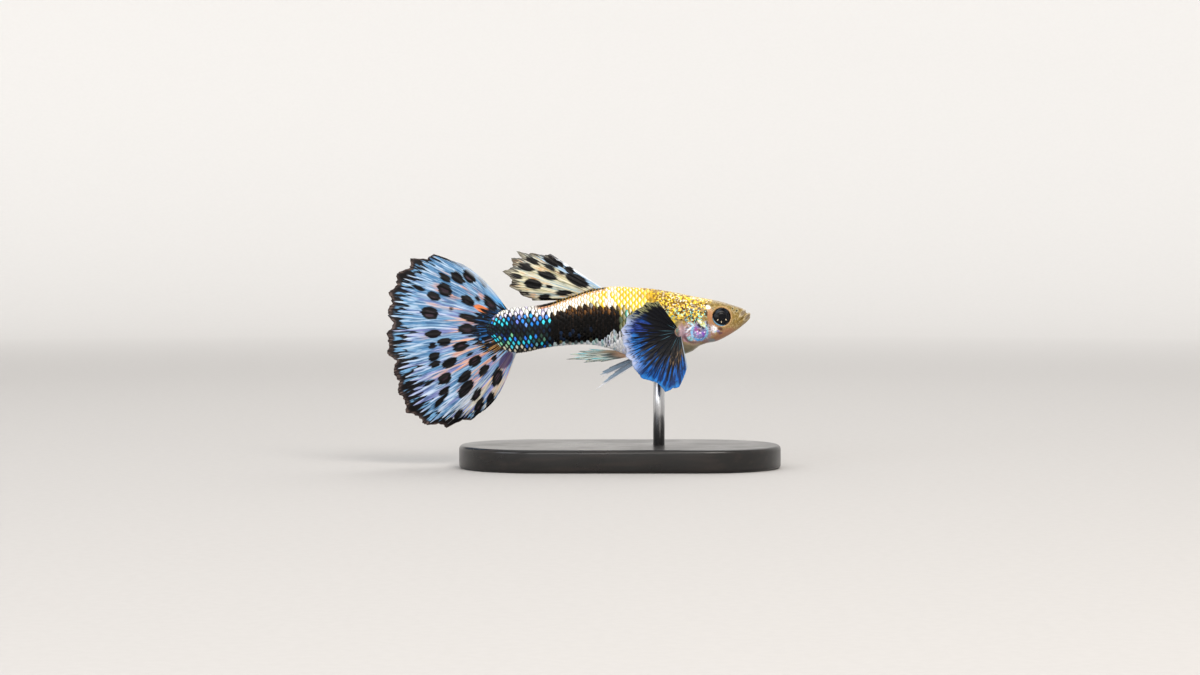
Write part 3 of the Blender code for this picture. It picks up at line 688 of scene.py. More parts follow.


# %% The head's colours
# The last coat, a near-black ring just inside the tan rim round the eye, is painted shade in the
# socket, where the eyeball meets the socket's wall.
HEAD_GROUND = """; tan and gold, darker and speckled above, pinker below
    #8c7230 1     z -1.2 1.0
    #b8a270 0.75  fine 0.48 0.60
    #69531f 0.6   patch 0.50 0.62  z -0.8 0.6
    #463612 0.75  speck 0.54 0.62  z -1.0 1.0
    #948b74 0.9   z -2.0 -2.9  s 5.0 6.6
    #8f9a7c 0.6   z -2.9 -3.8  fine 0.4 0.6
    #bd9462 0.7   eye 1.05 0.90
    #0c0806 0.95  eye 0.845 0.815
"""
GILL_RIM = """; the light blue rim of the gill plate, and the glints of its crystals
    #5ea8f4 1     ring 0.80 0.92  ring 1.18 1.06  z -0.65 -0.95
    #8fc8f6 0.95  ring 0.80 0.92  ring 1.18 1.06  s 7.05 7.35  z 0.0 -0.3
    #7cc4e4 0.85  ring 0.80 0.92  ring 1.18 1.06  s 6.1 5.8  z 0.1 -0.2
    #f2f0fb 0.6   area 1.1 0.8  first 0.54 0.76
    #2a1a30 0.5   area 1.1 0.8  second 0.56 0.76
    #78cbe8 0.4   area 1.1 0.8  third 0.60 0.80
"""


def paint_head(tree, place, s, z):
    """The colour of the head: its ground, nostrils, blotches, gill plate and lips."""
    sizes = {"fine": (5.0, 4.0), "speck": (9.0, 2.0), "patch": (2.6, 2.0)}
    at = {name: noise(tree, place, *size) for name, size in sizes.items()}
    at |= {"s": s, "z": z, "eye": blotch(tree, place, EYE_S, EYE_Z, 1.42, 1.42)}
    colour = coats(tree, "#9a784e", at, HEAD_GROUND)
    # Each nostril gets a pale rim and a dark centre. The dark is painted shade in its pit.
    for hole_s, hole_z, size in NOSTRILS:
        at["hole"] = blotch(tree, place, hole_s, hole_z, size, size)
        colour = coats(tree, colour, at, "#b4b08a 0.5 hole 1.7 1.3, #2c2410 0.9 hole 1.0 0.6")
    for *ellipse, paint, strength in HEAD_MARKS:
        torn = calc(tree, "MULTIPLY_ADD", at["fine"], 1.5, blotch(tree, place, *ellipse))
        colour = glaze(tree, colour, paint, [(torn, 2.0, 1.45)], strength)
    at |= flecks(tree, place, 0.14)
    at["ring"] = shifted(tree, blotch(tree, place, 6.66, -0.84, 1.05, 1.12), at["fine"], 0.45)
    at["area"] = blotch(tree, place, 6.9, -0.7, 2.0, 1.5)
    colour = coats(tree, colour, at, GILL_RIM)
    for lip_s, lip_z in ((0.98, 1.56), (0.42, 1.04)):  # brown, with a rim where it is stretched
        lip = blotch(tree, place, lip_s, lip_z, 0.58, 0.26, 47)
        at["lip"] = shifted(tree, lip, at["speck"], 1.2)
        colour = coats(tree, colour, at, "#b8a884 0.75 lip 1.35 1.1, #54402e 0.75 lip 1 0.6")
    return colour


print(len(chart(HEAD_GROUND)), "coats under the blotches,", len(chart(GILL_RIM)), "over them")


# %% The body's colours
BODY_PAINTS = {
    # The nape's pale and teal flecks are partly its pigment and partly painted highlights, the
    # glitter of its small scales.
    "nape": """#8c6a20
        #dcaa28 1     first 0.30 0.46
        #f8dc3c 1     first 0.46 0.62
        #fbf4da 0.95  second 0.56 0.74
        #553c12 0.7   third 0.58 0.72
        #1e140a 0.92  near_z 3.3 2.2  third 0.34 0.50 ; darker towards the gill cover
        #e0b83a 0.9   near_z 3.3 2.2  second 0.40 0.28  first 0.48 0.62
        #93dcc8 0.85  near_z 2.5 1.9  second 0.60 0.76""",
    "belly": """#ffffff
        #dce0fa 1     broad 0.46 0.56
        #d8c8b2 0.85  mid 0.46 0.60  s 18.6 20.6
        #7cc4c0 0.8   small 0.54 0.60  s 17.6 18.6
        #12161c 0.92  hair 0.46 0.54  s 16.6 17.4  s 20.2 19.0  over_belly -1.3 -0.5""",
    "low_bead": """#2fd0ea
        #2f7cf0 1     broad 0.50 0.53
        #84cc8c 0.85  mid 0.57 0.60
        #e6d6b4 0.9   z -2.3 -2.5""",
    "band": """#05070c
        #164a80 0.8   small 0.58 0.61""",
    "bead": """#1c8cf0
        #3fdcf4 1     mid 0.48 0.51
        #7c8cf6 0.85  broad 0.55 0.58
        #f8faff 0.95  z 1.60 1.80
        low_bead 1    z -0.2 -0.3
        band 0.97     z 0.46 0.36  z -0.98 -0.90
        #05070c 0.85  small 0.60 0.62  z 1.6 1.4""",
    "saddle_top": """#3a2410
        #96622a 1     mid 0.46 0.58""",
    "saddle": """#060504
        #261c16 0.8   hair 0.50 0.66
        saddle_top 0.9  z 1.4 3.0  hair 0.40 0.56
        #20385a 0.6   small 0.58 0.66  z 0.6 -0.6""",
    "gold_nape": """#d9a42c
        #f6e08a 1     mid 0.50 0.60
        #6e4c14 0.85  small 0.50 0.58""",
    "gold": """#fccb00
        #ffe23a 1     mid 0.44 0.60
        #ffffff 0.92  small 0.50 0.56  s 16.8 19.0
        #ffffff 0.9   s 20.2 22.6  broad 0.36 0.46
        #fffef6 0.95  s 22.0 24.0
        #cfc6f0 0.8   s 26.0 27.6  mid 0.48 0.56
        gold_nape 0.85  s 14.6 13.0
        #6a4816 0.85  broad 0.50 0.58  s 16.4 14.0  z 3.6 4.4""",
    "face": """#7c7a48
        #4fb8a4 0.9   broad 0.50 0.58 ; olive and teal behind the gill cover
        #f0cc3a 0.85  mid 0.52 0.60
        #141a22 0.8   small 0.52 0.60  s 16.4 17.6
        belly 1       over_belly 0.55 0.15
        bead 1        s 26.0 26.8
        saddle 1      over_gold 0.62 0.30  over_belly 0.30 0.60  s 17.2 17.7  s 27.0 26.4
        gold 1        over_gold 0.30 0.60
        head 1        near_s 10.1 9.2
        nape 1        over_gill -0.15 0.15  nape_s 13.6 12.0
        #d88a2c 0.8   near_s 18.4 19.2  near_s 28.4 27.2  over_back -0.46 -0.40
        #0a0807 1     near_s 18.4 19.2  near_s 28.4 27.2  over_back -0.24 -0.16""",
    "rim": """#2e2c1c
        #c4c8d4 1     over_belly 0.55 0.15
        #030508 1     s 26.0 26.8
        #050404 1     over_gold 0.62 0.30  over_belly 0.30 0.60  s 17.2 17.7  s 27.0 26.4
        #e0b040 0.85  over_gold 0.30 0.60
        #0c0c16 1     over_gold 0.30 0.60  s 25.4 26.6
        #7a5616 0.9   s 13.0 11.0""",
    "shine": """#6a6a6a
        #d0d0d0 1     over_gold 0.62 0.30  over_belly 0.30 0.60  s 17.2 17.7  s 27.0 26.4
        #1c1c1c 1     s 6.9 6.1""",
}


def paint_body(tree, place, near):
    """Returns the colour at a place, the colour of a scale's rim there, and how metallic
    the place looks. near is the point itself, for what doesn't keep to the scales."""
    sizes = {"mid": 2.4, "broad": 1.3, "small": 3.1}
    at = {name: noise(tree, place, size, 1.0) for name, size in sizes.items()}
    wander = noise(tree, place, 0.9, 3.0)
    true_s, _, true_z = split(tree, place)
    # These two are 0.8 and 0.45 higher on average, and so are the limits that use them.
    at["s"] = calc(tree, "MULTIPLY_ADD", wander, 1.6, true_s)
    at["z"] = calc(tree, "MULTIPLY_ADD", wander, 0.9, true_z)
    at["hair"] = noise(tree, stretched(tree, near, (5.5, 1.0, 0.8)), 1.0, 3.0)
    at |= flecks(tree, near, 0.19)
    near_s, _, near_z = split(tree, near)
    torn_s = shifted(tree, near_s, at["second"], 0.9)
    over_gill = over_line(tree, torn_s, near_z, MOSAIC_EDGE)
    at |= {
        "near_s": near_s,
        "near_z": near_z,
        "over_gold": over_line(tree, true_s, at["z"], GOLD_EDGE),
        "over_belly": over_line(tree, true_s, at["z"], BELLY_EDGE),
        "over_back": over_line(tree, near_s, near_z, BACK_EDGE),
        "over_gill": shifted(tree, over_gill, at["third"], 0.9),  # so it breaks up into flecks
        "nape_s": shifted(tree, at["s"], at["second"], 4.0),
        "head": paint_head(tree, near, near_s, near_z),
    }
    mix_paints(tree, at, BODY_PAINTS)
    return at["face"], at["rim"], at["shine"]


print("The body has", len(BODY_PAINTS), "paints:", *BODY_PAINTS)


# %% [markdown]
# ## Fish skin
#
# Bare fish skin is thin, wet and a little see-through, over silvery cells. In a model that
# is paint under a clear gloss. So the shader is a little metallic where the fish has silvery
# cells, has a thin clear coat all over for the wet look, and a fine grain as bump. The grain
# of real skin, about 0.05 mm, is drawn at 0.15 mm, which is as fine as the picture shows.

# %% The skin's finish
gloss = {"Roughness": 0.38, "Specular IOR Level": 0.3, "Coat Weight": 0.2, "Coat Roughness": 0.12}
skin_finish, tree = new_finish("lacquered_fish_skin", gloss)
place = on_fish(tree, own_place(tree))
face, rim, shine = paint_body(tree, place, place)
values = {"rim": rim, "s": split(tree, place)[0]}
feed(tree, "Base Color", coats(tree, face, values, "rim 0.85 s 11.0 13.0"))
feed(tree, "Metallic", shine)
bump(tree, noise(tree, place, 6.5, 5.0), 0.35, 0.06)
flesh = ("head", "lower_jaw", "trunk", "tail_stalk", "gill_cover_left", "gill_cover_right")
settle("skin", skin_mesh, skin_finish, flesh)
print("The skin's material has", len(tree.nodes), "nodes")


# %% [markdown]
# ## The scales
#
# A guppy has large scales for its size, about thirty along each side, laid like roof tiles
# with the free edge to the rear. Each is a shield that starts under the ones in front and
# ends above the ones behind. Rows run along the body, and every other row is shifted by half
# a scale. The scales are placed by the same functions as the skin, so they bend with it, and
# a Solidify gives them their thickness. An array along a curve would give all of them one
# size, but here they get smaller towards the head and the tail.

# %% Even steps round the body
STEPS_ROUND = 96


@functools.lru_cache(maxsize=None)
def girth(tenth):
    """How far round the body each angle is, from the belly, at s in tenths of a mm."""
    angles = [-math.pi / 2 + math.tau * k / STEPS_ROUND for k in range(STEPS_ROUND + 1)]
    ring = [Vector(body_point(tenth / 10, angle)) for angle in angles]
    lengths = [0.0]
    for a, b in zip(ring, ring[1:]):
        lengths.append(lengths[-1] + (b - a).length)
    return angles, lengths


def angle_at(s, share):
    """The angle that lies at a share of the way round the body, from the belly."""
    angles, lengths = girth(round(s * 10))
    want = (share % 1.0) * lengths[-1]
    low, high = 0, STEPS_ROUND
    while high - low > 1:
        middle = (low + high) // 2
        low, high = (middle, high) if lengths[middle] <= want else (low, middle)
    t = (want - lengths[low]) / max(1e-9, lengths[high] - lengths[low])
    return angles[low] + (angles[high] - angles[low]) * t


def scale_pitch(s):
    """How far apart two scales of a row are, in mm."""
    return 0.50 + 0.28 * ease(4.5, 10.5, s) - 0.14 * ease(25, 33, s)


belly_round, stalk_round = (girth(tenth)[1][-1] for tenth in (130, 280))
print("Round the belly it is", round(belly_round, 1), "mm, the stalk", round(stalk_round, 1), "mm")


# %% Where scales grow
FIRST_SCALE = 4.4  # rows are counted from here, though the first scales of each are left out


def nape_start(z):
    """Where the scales begin: first on the back, and later on the sides."""
    return 6.2 + 3.2 * ease(2.8, 1.2, z)


def is_scaled(s, z):
    """The snout, the cheeks, the gill covers and the throat are bare."""
    if math.hypot((s - PECTORAL_S - 0.2) / 1.0, (z - PECTORAL_Z) / 1.25) < 1:
        return False
    start = 9.7 if z < -1.8 else nape_start(z)
    return start < s < FLESH_END - 0.35 - 0.25 * (z + 0.8) ** 2


def lay_scale(bm, layers, s, share, rows, draw):
    """Adds one scale. Its grid is 6 by 4, with a rounded free edge."""
    pitch = scale_pitch(s)
    small = 0.62 + 0.38 * ease(5, 11, s)
    tint = draw.random()
    tilt = draw.uniform(-0.05, 0.05)
    z = body_point(s, angle_at(s, share))[2]
    rise = ease(0.0, 4.0, s - nape_start(z))
    smooth = 1 - 0.65 * ease(16.5, 17.5, s) * ease(26, 25, s) * ease(2.8, 2.2, z)
    lift = (0.042 + 0.02 * tint) * small * rise * smooth - 0.05 * (1 - rise)
    verts = bmesh.ops.create_grid(bm, x_segments=6, y_segments=4, size=1)["verts"]
    middle = fish(*body_point(s + 0.25 * pitch, angle_at(s, share)))
    root = unwrap(s, angle_at(s, share))
    for vert in verts:
        b, v = vert.co.x, (vert.co.y + 1) / 2
        wide = (0.80 + 0.20 * math.sin(math.pi * min(1.0, v * 1.1))) * 1.08 / rows
        reach = v * (1 - 0.36 * abs(b) ** 2.2)
        at = s + pitch * (-0.75 + 1.80 * reach) + tilt * b * pitch
        height = -0.055 + (lift + 0.055) * reach + 0.020 * small * rise * (1 - b * b)
        vert.co = fish(*body_point(at, angle_at(at, share + b * wide), height))
        vert[layers["root_at"]] = middle
        vert[layers["tint"]] = tint
        for loop in vert.link_loops:
            loop[layers["scale_face"]].uv = (b / 2 + 0.5, v)
            loop[layers["OFBake"]].uv = (root[0] + 0.0015 * b, root[1] + 0.003 * (v - 0.5))


def make_scales(rows, start, stop):
    """Lays the scales from start to stop, on twice as many lines as there are rows."""
    draw = random.Random(4)
    bm = bmesh.new()
    layers = {name: bm.loops.layers.uv.new(name) for name in ("scale_face", "OFBake")}
    layers["root_at"] = bm.verts.layers.float_vector.new("root_at")
    layers["tint"] = bm.verts.layers.float.new("tint")
    for line in range(rows * 2):
        s = FIRST_SCALE + (0.5 * scale_pitch(FIRST_SCALE) if line % 2 else 0.0)
        share = line / (2 * rows)
        while s < FLESH_END:
            z = body_point(s, angle_at(s, share))[2]
            if is_scaled(s, z) and start <= s < stop:
                lay_scale(bm, layers, s + draw.uniform(-0.02, 0.02), share, rows, draw)
            s += scale_pitch(s)
    return bm


print("The scales start", nape_start(3.5), "mm behind the snout on the back")


# %% Lay the scales and give them their thickness
def thicken(obj, thickness, offset, weights=None):
    """Gives a sheet its thickness in mm with a Solidify, and applies it. Each point can have
    a weight of its own. The sheet lies on the outside (offset -1) or in the middle (0)."""
    solid = obj.modifiers.new("thickness", "SOLIDIFY")
    solid.thickness = thickness * MM
    solid.offset = offset
    if weights:
        group = obj.vertex_groups.new(name="thickness")
        for index, weight in enumerate(weights):
            group.add([index], weight, "REPLACE")
        solid.vertex_group = "thickness"
    bpy.context.view_layer.update()
    shown = obj.evaluated_get(bpy.context.evaluated_depsgraph_get())
    mesh = bpy.data.meshes.new_from_object(shown)
    obj.modifiers.clear()
    obj.data = mesh
    obj.vertex_groups.clear()
    print(obj.name, "has", len(mesh.polygons), "faces")


gloss = {"Roughness": 0.30, "Specular IOR Level": 0.2, "Coat Weight": 0.1, "Coat Roughness": 0.08}
scale_finish, scale_tree = new_finish("pearly_fish_scale", gloss)
ROWS_CHANGE = 24.5  # the longer rows run out under the dark saddle
front_mesh, rear_mesh = make_scales(22, 0, ROWS_CHANGE), make_scales(12, ROWS_CHANGE, FLESH_END)
front_scales = settle("scales_front", front_mesh, scale_finish)
rear_scales = settle("scales_rear", rear_mesh, scale_finish)
for obj in (front_scales, rear_scales):
    thicken(obj, 0.035, -1)


# %% [markdown]
# ## Scale finish
#
# A scale is a clear bony plate over a layer of guanine crystals, which shine like foil. Its
# face shows the colour of the fish at its root, so each scale is one colour. Its free edge
# is darker, where the pigment of the skin shows, and a bow inside it is a painted highlight.
# Fine rings, about 0.02 mm apart on a real scale and 0.15 mm here, give the face its grain.

# %% Colour each scale from its root
# The white row is a painted highlight: a bow of light on the face of each scale whose colour is
# light, left off the nape and the stalk.
SCALE_COATS = """
    #000000 0.16  tint 0.40 0.0
    #ffffff 0.7   long 0.40 0.60  long 0.88 0.72  across 0.26 0.08  face 0.06 0.40 \
 root_s 12.6 14.4  root_s 26.0 24.6
    rim 0.85      long 0.89 0.97  root_s 10.5 13.5
    rim 0.85      across 0.40 0.47  long 0.30 0.55  root_s 10.5 13.5
    rim 0.97      oval 0.70 1.0  root_s 24.8 25.8  root_z 1.75 1.25 ; round bright beads
"""
tree = scale_tree
root_place = on_fish(tree, stored(tree, "root_at", "Vector"))
face, rim, shine = paint_body(tree, root_place, on_fish(tree, own_place(tree)))
flat = add(tree, "UVMap", {"uv_map": "scale_face"}).outputs[0]
root_s, _, root_z = split(tree, root_place)
width, length, _ = split(tree, flat)
oval = {"Vector": flat, "Location": (0.5, 0.72, 0), "Scale": (0.155, 0.20, 1)}
oval = add(tree, "Mapping", {"vector_type": "TEXTURE"}, oval).outputs[0]
values = {
    "face": face,
    "rim": rim,
    "tint": stored(tree, "tint"),
    "root_s": root_s,
    "root_z": root_z,
    "long": length,
    "across": calc(tree, "ABSOLUTE", calc(tree, "SUBTRACT", width, 0.5)),
    "oval": add(tree, "VectorMath", {"operation": "LENGTH"}, {0: oval}).outputs["Value"],
}
feed(tree, "Base Color", coats(tree, face, values, SCALE_COATS))
feed(tree, "Metallic", shine)
rings = add(tree, "TexWave", {"bands_direction": "Y"}, {"Vector": flat, "Scale": 3.0})
bump(tree, rings.outputs[0], 0.25, 0.03)
print("The scales' material has", len(tree.nodes), "nodes")


# %% [markdown]
# ## The eyes
#
# A fish's eye hardly moves and has no lids. It is a flattened ball, flush with the head, and
# its round lens pushes the pupil forward. This one is almost black, with a thin grey ring
# round the pupil and a blue gleam at its lower rear rim. Three pale glints low in it and a
# grey sheen at its upper rear are painted highlights.
# The ball is a sphere with its poles turned sideways, and its rings are moved out to a
# fuller profile than an ellipse, with the pupil's dome in the middle. It leans with the side
# of the head, so that its rim sinks evenly into the socket. A clear coat stands for the
# cornea, as a real glass one would dim the colours in a baked copy.

# %% Shape the eyes
PUPIL = 0.64
LEAN_BACK = (half_width_at(EYE_S + 1, EYE_Z) - half_width_at(EYE_S - 1, EYE_Z)) / 2
LEAN_UP = (half_width_at(EYE_S, EYE_Z + 1) - half_width_at(EYE_S, EYE_Z - 1)) / 2
print("The eye leans out", round(LEAN_BACK, 2), "for each mm back, and", round(LEAN_UP, 2), "up")


def make_eye(side):
    """One eyeball. side is 1 for the fish's left and -1 for its right."""
    bm = bmesh.new()
    bmesh.ops.create_uvsphere(bm, u_segments=64, v_segments=56, radius=1)
    for vert in bm.verts:
        r = math.hypot(vert.co.x, vert.co.y)
        turn = math.atan2(vert.co.y, vert.co.x)
        r_mm = r * EYE_RADIUS
        depth = math.copysign(max(0.0, 1 - r**2.4) ** (1 / 2.0), vert.co.z) * EYE_DEPTH
        if vert.co.z > 0:
            lens = 0.05 * ease(PUPIL + 0.02, 0.30, r_mm) - 0.03 * swell(PUPIL + 0.04, 0.09, r_mm)
            depth = min(depth, EYE_DEPTH - 0.05) + lens
        back, up = r_mm * math.cos(turn), r_mm * math.sin(turn)
        out = EYE_Y + depth + LEAN_BACK * back + LEAN_UP * up
        vert.co = fish(EYE_S + back, side * out, EYE_Z + up)
    bmesh.ops.recalc_face_normals(bm, faces=bm.faces)
    return bm


# %% Paint the eyes
gloss = {"Roughness": 0.20, "Specular IOR Level": 0.1, "Coat Weight": 0.1, "Coat Roughness": 0.06}
eye_finish, tree = new_finish("glass_eye", gloss)
place = on_fish(tree, own_place(tree))
values = {
    "smoke": noise(tree, place, 2.2, 4.0),
    "whole": blotch(tree, place, EYE_S, EYE_Z, 1.0, 1.0),
    "upper_rear": blotch(tree, place, 4.25, 1.75, 0.5, 0.3, 30),
    "gleam": blotch(tree, place, 3.60, 1.36, 1.12, 1.12),
}
# The grey over the iris at its upper rear is a painted sheen, a soft highlight.
colour = coats(tree, "#07080c", values, """
    #323a48 0.35  smoke 0.46 0.66  whole 0.70 0.80
    #56606e 0.3   upper_rear 1.1 0.3  whole 0.70 0.80
    #8ccaf4 0.95  gleam 1.21 1.28
    #6c6a68 0.10  whole 0.60 0.635  whole 0.70 0.665
""")
# Three pale glints low in the eye are painted highlights.
for glint_s, glint_z, turn in ((4.30, 0.66, 50), (3.83, 0.40, 90), (3.23, 0.70, -50)):
    values["fleck"] = blotch(tree, place, glint_s, glint_z, 0.13, 0.065, turn)
    colour = coats(tree, colour, values, "#f0dcb8 0.95 fleck 1.2 0.5")
feed(tree, "Base Color", colour)
for side, word in SIDES:
    obj = settle(f"eyeball_{word}", make_eye(side), eye_finish, [f"eye_{word}"])
    print(obj.name, "has", len(obj.data.polygons), "faces")


# %% [markdown]
# ## The form of a fin
#
# A fin is a double sheet of skin over bony rays. Each ray starts single at the root and
# forks twice on its way to the edge, the skin between the rays falls a little short of their
# tips, and so the edge is ragged. A flat net is the natural start: one direction runs across
# the rays and the other along them. A place function bends the net into the fin, a second
# one says how high a ray stands, and a Solidify with a weight for each point turns that into
# thickness. The net's own two coordinates stay on it as a map, and the colours need them.

# %% Rays that fork, and ragged edges
def ray_height(u, v, rays):
    """How high a ray stands at a place of the net, 0 between rays and 1 on a ray."""
    off = abs(u * (rays - 1) - round(u * (rays - 1)))
    first, second = 0.25 * ease(0.28, 0.62, v), 0.125 * ease(0.62, 0.92, v)
    near = abs(abs(off - first) - second)
    return ease(0.19 - 0.09 * ease(0.3, 0.9, v), 0, near)


def ragged(rays, seed, uneven, notch):
    """Returns share(u, v), how far along its ray a place of the net lies."""
    draw = random.Random(seed)
    ends = [1 - uneven * draw.random() for _ in range(rays)]
    bays = [1 - notch * (0.6 + 0.8 * draw.random()) for _ in range(rays)]
    tips = [draw.uniform(0.0, 0.022) for _ in range(rays * 4 + 4)]

    def share(u, v):
        place = u * (rays - 1)
        nearest = round(place)
        off = abs(place - nearest) * 2
        bay = bays[min(int(place), rays - 2)]
        end = ends[nearest] * (1 - (1 - bay) * off**0.8)
        end -= tips[round(place * 4)] * (1 - 0.6 * ray_height(u, 1.0, rays))
        return v * (1 - (1 - end) * v**3)

    return share


def fan_angle(angles, u):
    """The angle of a fan's net at u, in radians, between its two ends in degrees."""
    first, last = (math.radians(angle) for angle in angles)
    return first + (last - first) * u


def ray_place(root, tips, edge, sideways):
    """Returns the place function of a fin whose rays run from a short root to own tips."""

    def place(u, v):
        start = [root[0][k] + (root[1][k] - root[0][k]) * u for k in (0, 1)]
        stop = [along([tip[k] for tip in tips], u) for k in (0, 1)]
        s, z = (start[k] + (stop[k] - start[k]) * edge(u, v) for k in (0, 1))
        return s, sideways(u, v, s), z

    return place


def spot_distance(spots, centre, s, z):
    """How far a place is outside the nearest spot, in mm, and less than 0 inside one. A spot
    is an ellipse that points away from the fin's centre: s, z, half length, half width."""
    nearest = 9.0
    for at, height, long, wide in spots:
        away = Vector((at - centre[0], height - centre[1])).normalized()
        off = Vector((s - at, z - height))
        lengthways, sideways = off.dot(away) / long, off.cross(away) / wide
        nearest = min(nearest, (math.hypot(lengthways, sideways) - 1) * min(long, wide))
    return nearest


print("Across a fin of eight rays:", [round(ray_height(k / 28, 0, 8), 1) for k in range(9)])


# %% Make a fin from its net
def make_fin(name, finish, slot, net, place, thick, spots=(), centre=(0, 0)):
    """Makes a fin. net is how many rays it has, columns to a ray and rows, and thick is how
    thick it is at the root and between rays, and what a ray adds."""
    rays, per_ray, rows = net
    root_thick, skin_thick, ray_thick = thick
    most = root_thick + ray_thick
    bm = bmesh.new()
    bmesh.ops.create_grid(bm, x_segments=per_ray * (rays - 1), y_segments=rows, size=1)
    fin_map = bm.loops.layers.uv.new("fin_map")
    ray_layer = bm.verts.layers.float.new("ray")
    spot_layer = bm.verts.layers.float.new("spot")
    weights = []
    for vert in bm.verts:
        u, v = (vert.co.x + 1) / 2, (vert.co.y + 1) / 2
        for loop in vert.link_loops:
            loop[fin_map].uv = (u, v)
        s, y, z = place(u, v)
        ray = ray_height(u, v, rays)
        vert[ray_layer] = ray
        vert[spot_layer] = spot_distance(spots, centre, s, z)
        base = root_thick + (skin_thick - root_thick) * ease(0, 0.18, v)
        ridged = base + ray_thick * ray * (1 - 0.5 * v)
        weights.append(ridged * (1 - 0.45 * ease(0.75, 1, v)) / most)
        vert.co = fish(s, y, z)
    thicken(settle(name + "_sheet", bm, finish, [name]), most, 0, weights)


# %% [markdown]
# ## Fin skin
#
# All seven fins are one stuff, thin skin over rays, so their materials start alike: soft
# gloss under a thin coat, fine cross joints on the rays, and streaks that run along the
# rays, because the pigment cells lie in rows there. The streaks come from noise that is read
# on the fin's own map, drawn out along the rays. Only the paint differs.

# %% Start a fin's finish
STREAKS = chart("""; name, how many to a ray, how many along it, offset
    wide 1.3 1.6 3, warm 1.1 2.4 7, thin 4.0 2.6 1, fine 9.0 7.0 5, grain 9.0 90.0 2
""")


def start_fin(name, rays):
    """Starts a fin's material. Returns it with its tree and the values to paint with: across
    and along the rays, height of the ray, distance to a spot, and streaks."""
    gloss = {"Roughness": 0.42, "Specular IOR Level": 0.12, "Coat Weight": 0.05}
    finish, tree = new_finish(name, gloss | {"Coat Roughness": 0.2})
    flat = add(tree, "UVMap", {"uv_map": "fin_map"}).outputs[0]
    values = dict(zip("uv", split(tree, flat)))
    values["place"] = on_fish(tree, own_place(tree))
    values |= {key: stored(tree, key) for key in ("ray", "spot")}
    for key, across, lengthways, offset in STREAKS:
        drawn = stretched(tree, flat, (across * rays, lengthways, 1), (offset, offset, 0))
        values[key] = noise(tree, drawn, 1.0, 2.0)
    joints = calc(tree, "MULTIPLY", values["grain"], 0.5)
    bump(tree, calc(tree, "ADD", joints, values["fine"]), 0.5, 0.06)
    return finish, tree, values


def frayed(tree, at, value, **streaks):
    """A value torn along the rays, by an amount for each kind of streak."""
    for key, amount in streaks.items():
        value = shifted(tree, value, at[key], amount)
    return value


print("A fin has", len(STREAKS), "kinds of streaks")


# %% [markdown]
# ## The tail fin
#
# The tail is as large as the body: a fan of fifteen rays, pale blue and lilac with peach
# streaks on its inner rays. Black spots lie on it as on a leopard, drawn out along the rays,
# and it ends in a black border that pale rays run into. Each spot is one ellipse in a table,
# and its distance is stored on the net, so that the paint can tear its edge along the rays.

# %% Shape the tail fin
TAIL_CENTRE = (31.06, -0.78)
TAIL_ANGLES = (53, -74)
TAIL_ROOT = (1.98 * 0.82, -3.73 * 0.90)  # how high its root reaches, and how low
TAIL_LENGTHS = (
    10.9, 14.4, 16.7, 17.2, 17.4, 17.0, 16.6, 17.2, 16.8, 17.6, 17.8, 17.3, 15.7, 13.3, 10.1
)
TAIL_SPOTS = chart("""
    39.95 6.10 0.75 0.37, 38.2 6.1 1.05 0.62, 36.75 6.2 1.0 0.68, 34.95 5.7 1.0 0.36
    39.9 4.45 1.12 0.72, 41.4 3.6 0.90 0.53, 36.9 3.05 1.0 0.58, 35.6 3.35 0.50 0.28
    33.9 2.6 1.45 0.62, 41.9 1.45 1.12 0.84, 36.7 0.87 1.38 0.52, 37.0 -0.64 1.15 0.70
    41.45 -1.3 1.02 0.56, 39.95 -2.3 0.85 0.56, 41.6 -2.8 0.52 0.36, 37.8 -2.9 1.05 0.60
    41.3 -4.2 0.75 0.48, 41.25 -5.1 0.80 0.46, 39.3 -5.05 1.02 0.60, 35.95 -4.8 0.96 0.60
    34.8 -6.0 0.92 0.50, 33.05 -6.9 1.28 0.62, 33.45 -4.4 0.52 0.34, 39.9 -7.15 1.02 0.68
    37.3 -6.9 1.05 0.60, 37.2 -8.45 1.40 0.70, 35.8 -9.25 1.10 0.50, 33.95 -9.9 1.10 0.44
    40.05 -8.95 0.80 0.34, 35.5 -10.9 1.25 0.45, 40.6 -10.1 1.05 0.34, 36.6 -3.9 0.52 0.22
    39.1 1.95 0.38 0.17, 38.2 -11.9 0.95 0.36, 43.4 4.75 0.8 0.3, 42.0 -7.6 0.75 0.26
""")


def place_tail(u, v):
    """Where a place of the tail's net lies on the fish."""
    widest = section(STALK_END)[3]
    angle = fan_angle(TAIL_ANGLES, u)
    reach = along(TAIL_LENGTHS, u)
    share = tail_edge(u, v)
    root_z = TAIL_ROOT[0] + (TAIL_ROOT[1] - TAIL_ROOT[0]) * u
    root_s = STALK_END - 0.4 + STALK_LEAN * (root_z - widest)
    tip_s = TAIL_CENTRE[0] + reach * math.cos(angle)
    tip_z = TAIL_CENTRE[1] + reach * math.sin(angle)
    bow = 0.9 * math.sin(math.pi * v) * math.sin(angle)
    wave = math.sin(2.6 * math.pi * u + 0.6) * (0.35 + 0.65 * u)
    ripple = 0.10 * math.sin(v * 17 + 9 * u) * math.sin(u * 41) * ease(0.25, 0.9, v)
    s = root_s + (tip_s - root_s) * share
    return s, 1.1 * v**1.6 * wave + ripple, root_z + (tip_z - root_z) * share + bow


tail_edge = ragged(15, 7, 0.02, 0.045)
print(len(TAIL_SPOTS), "spots on the tail")


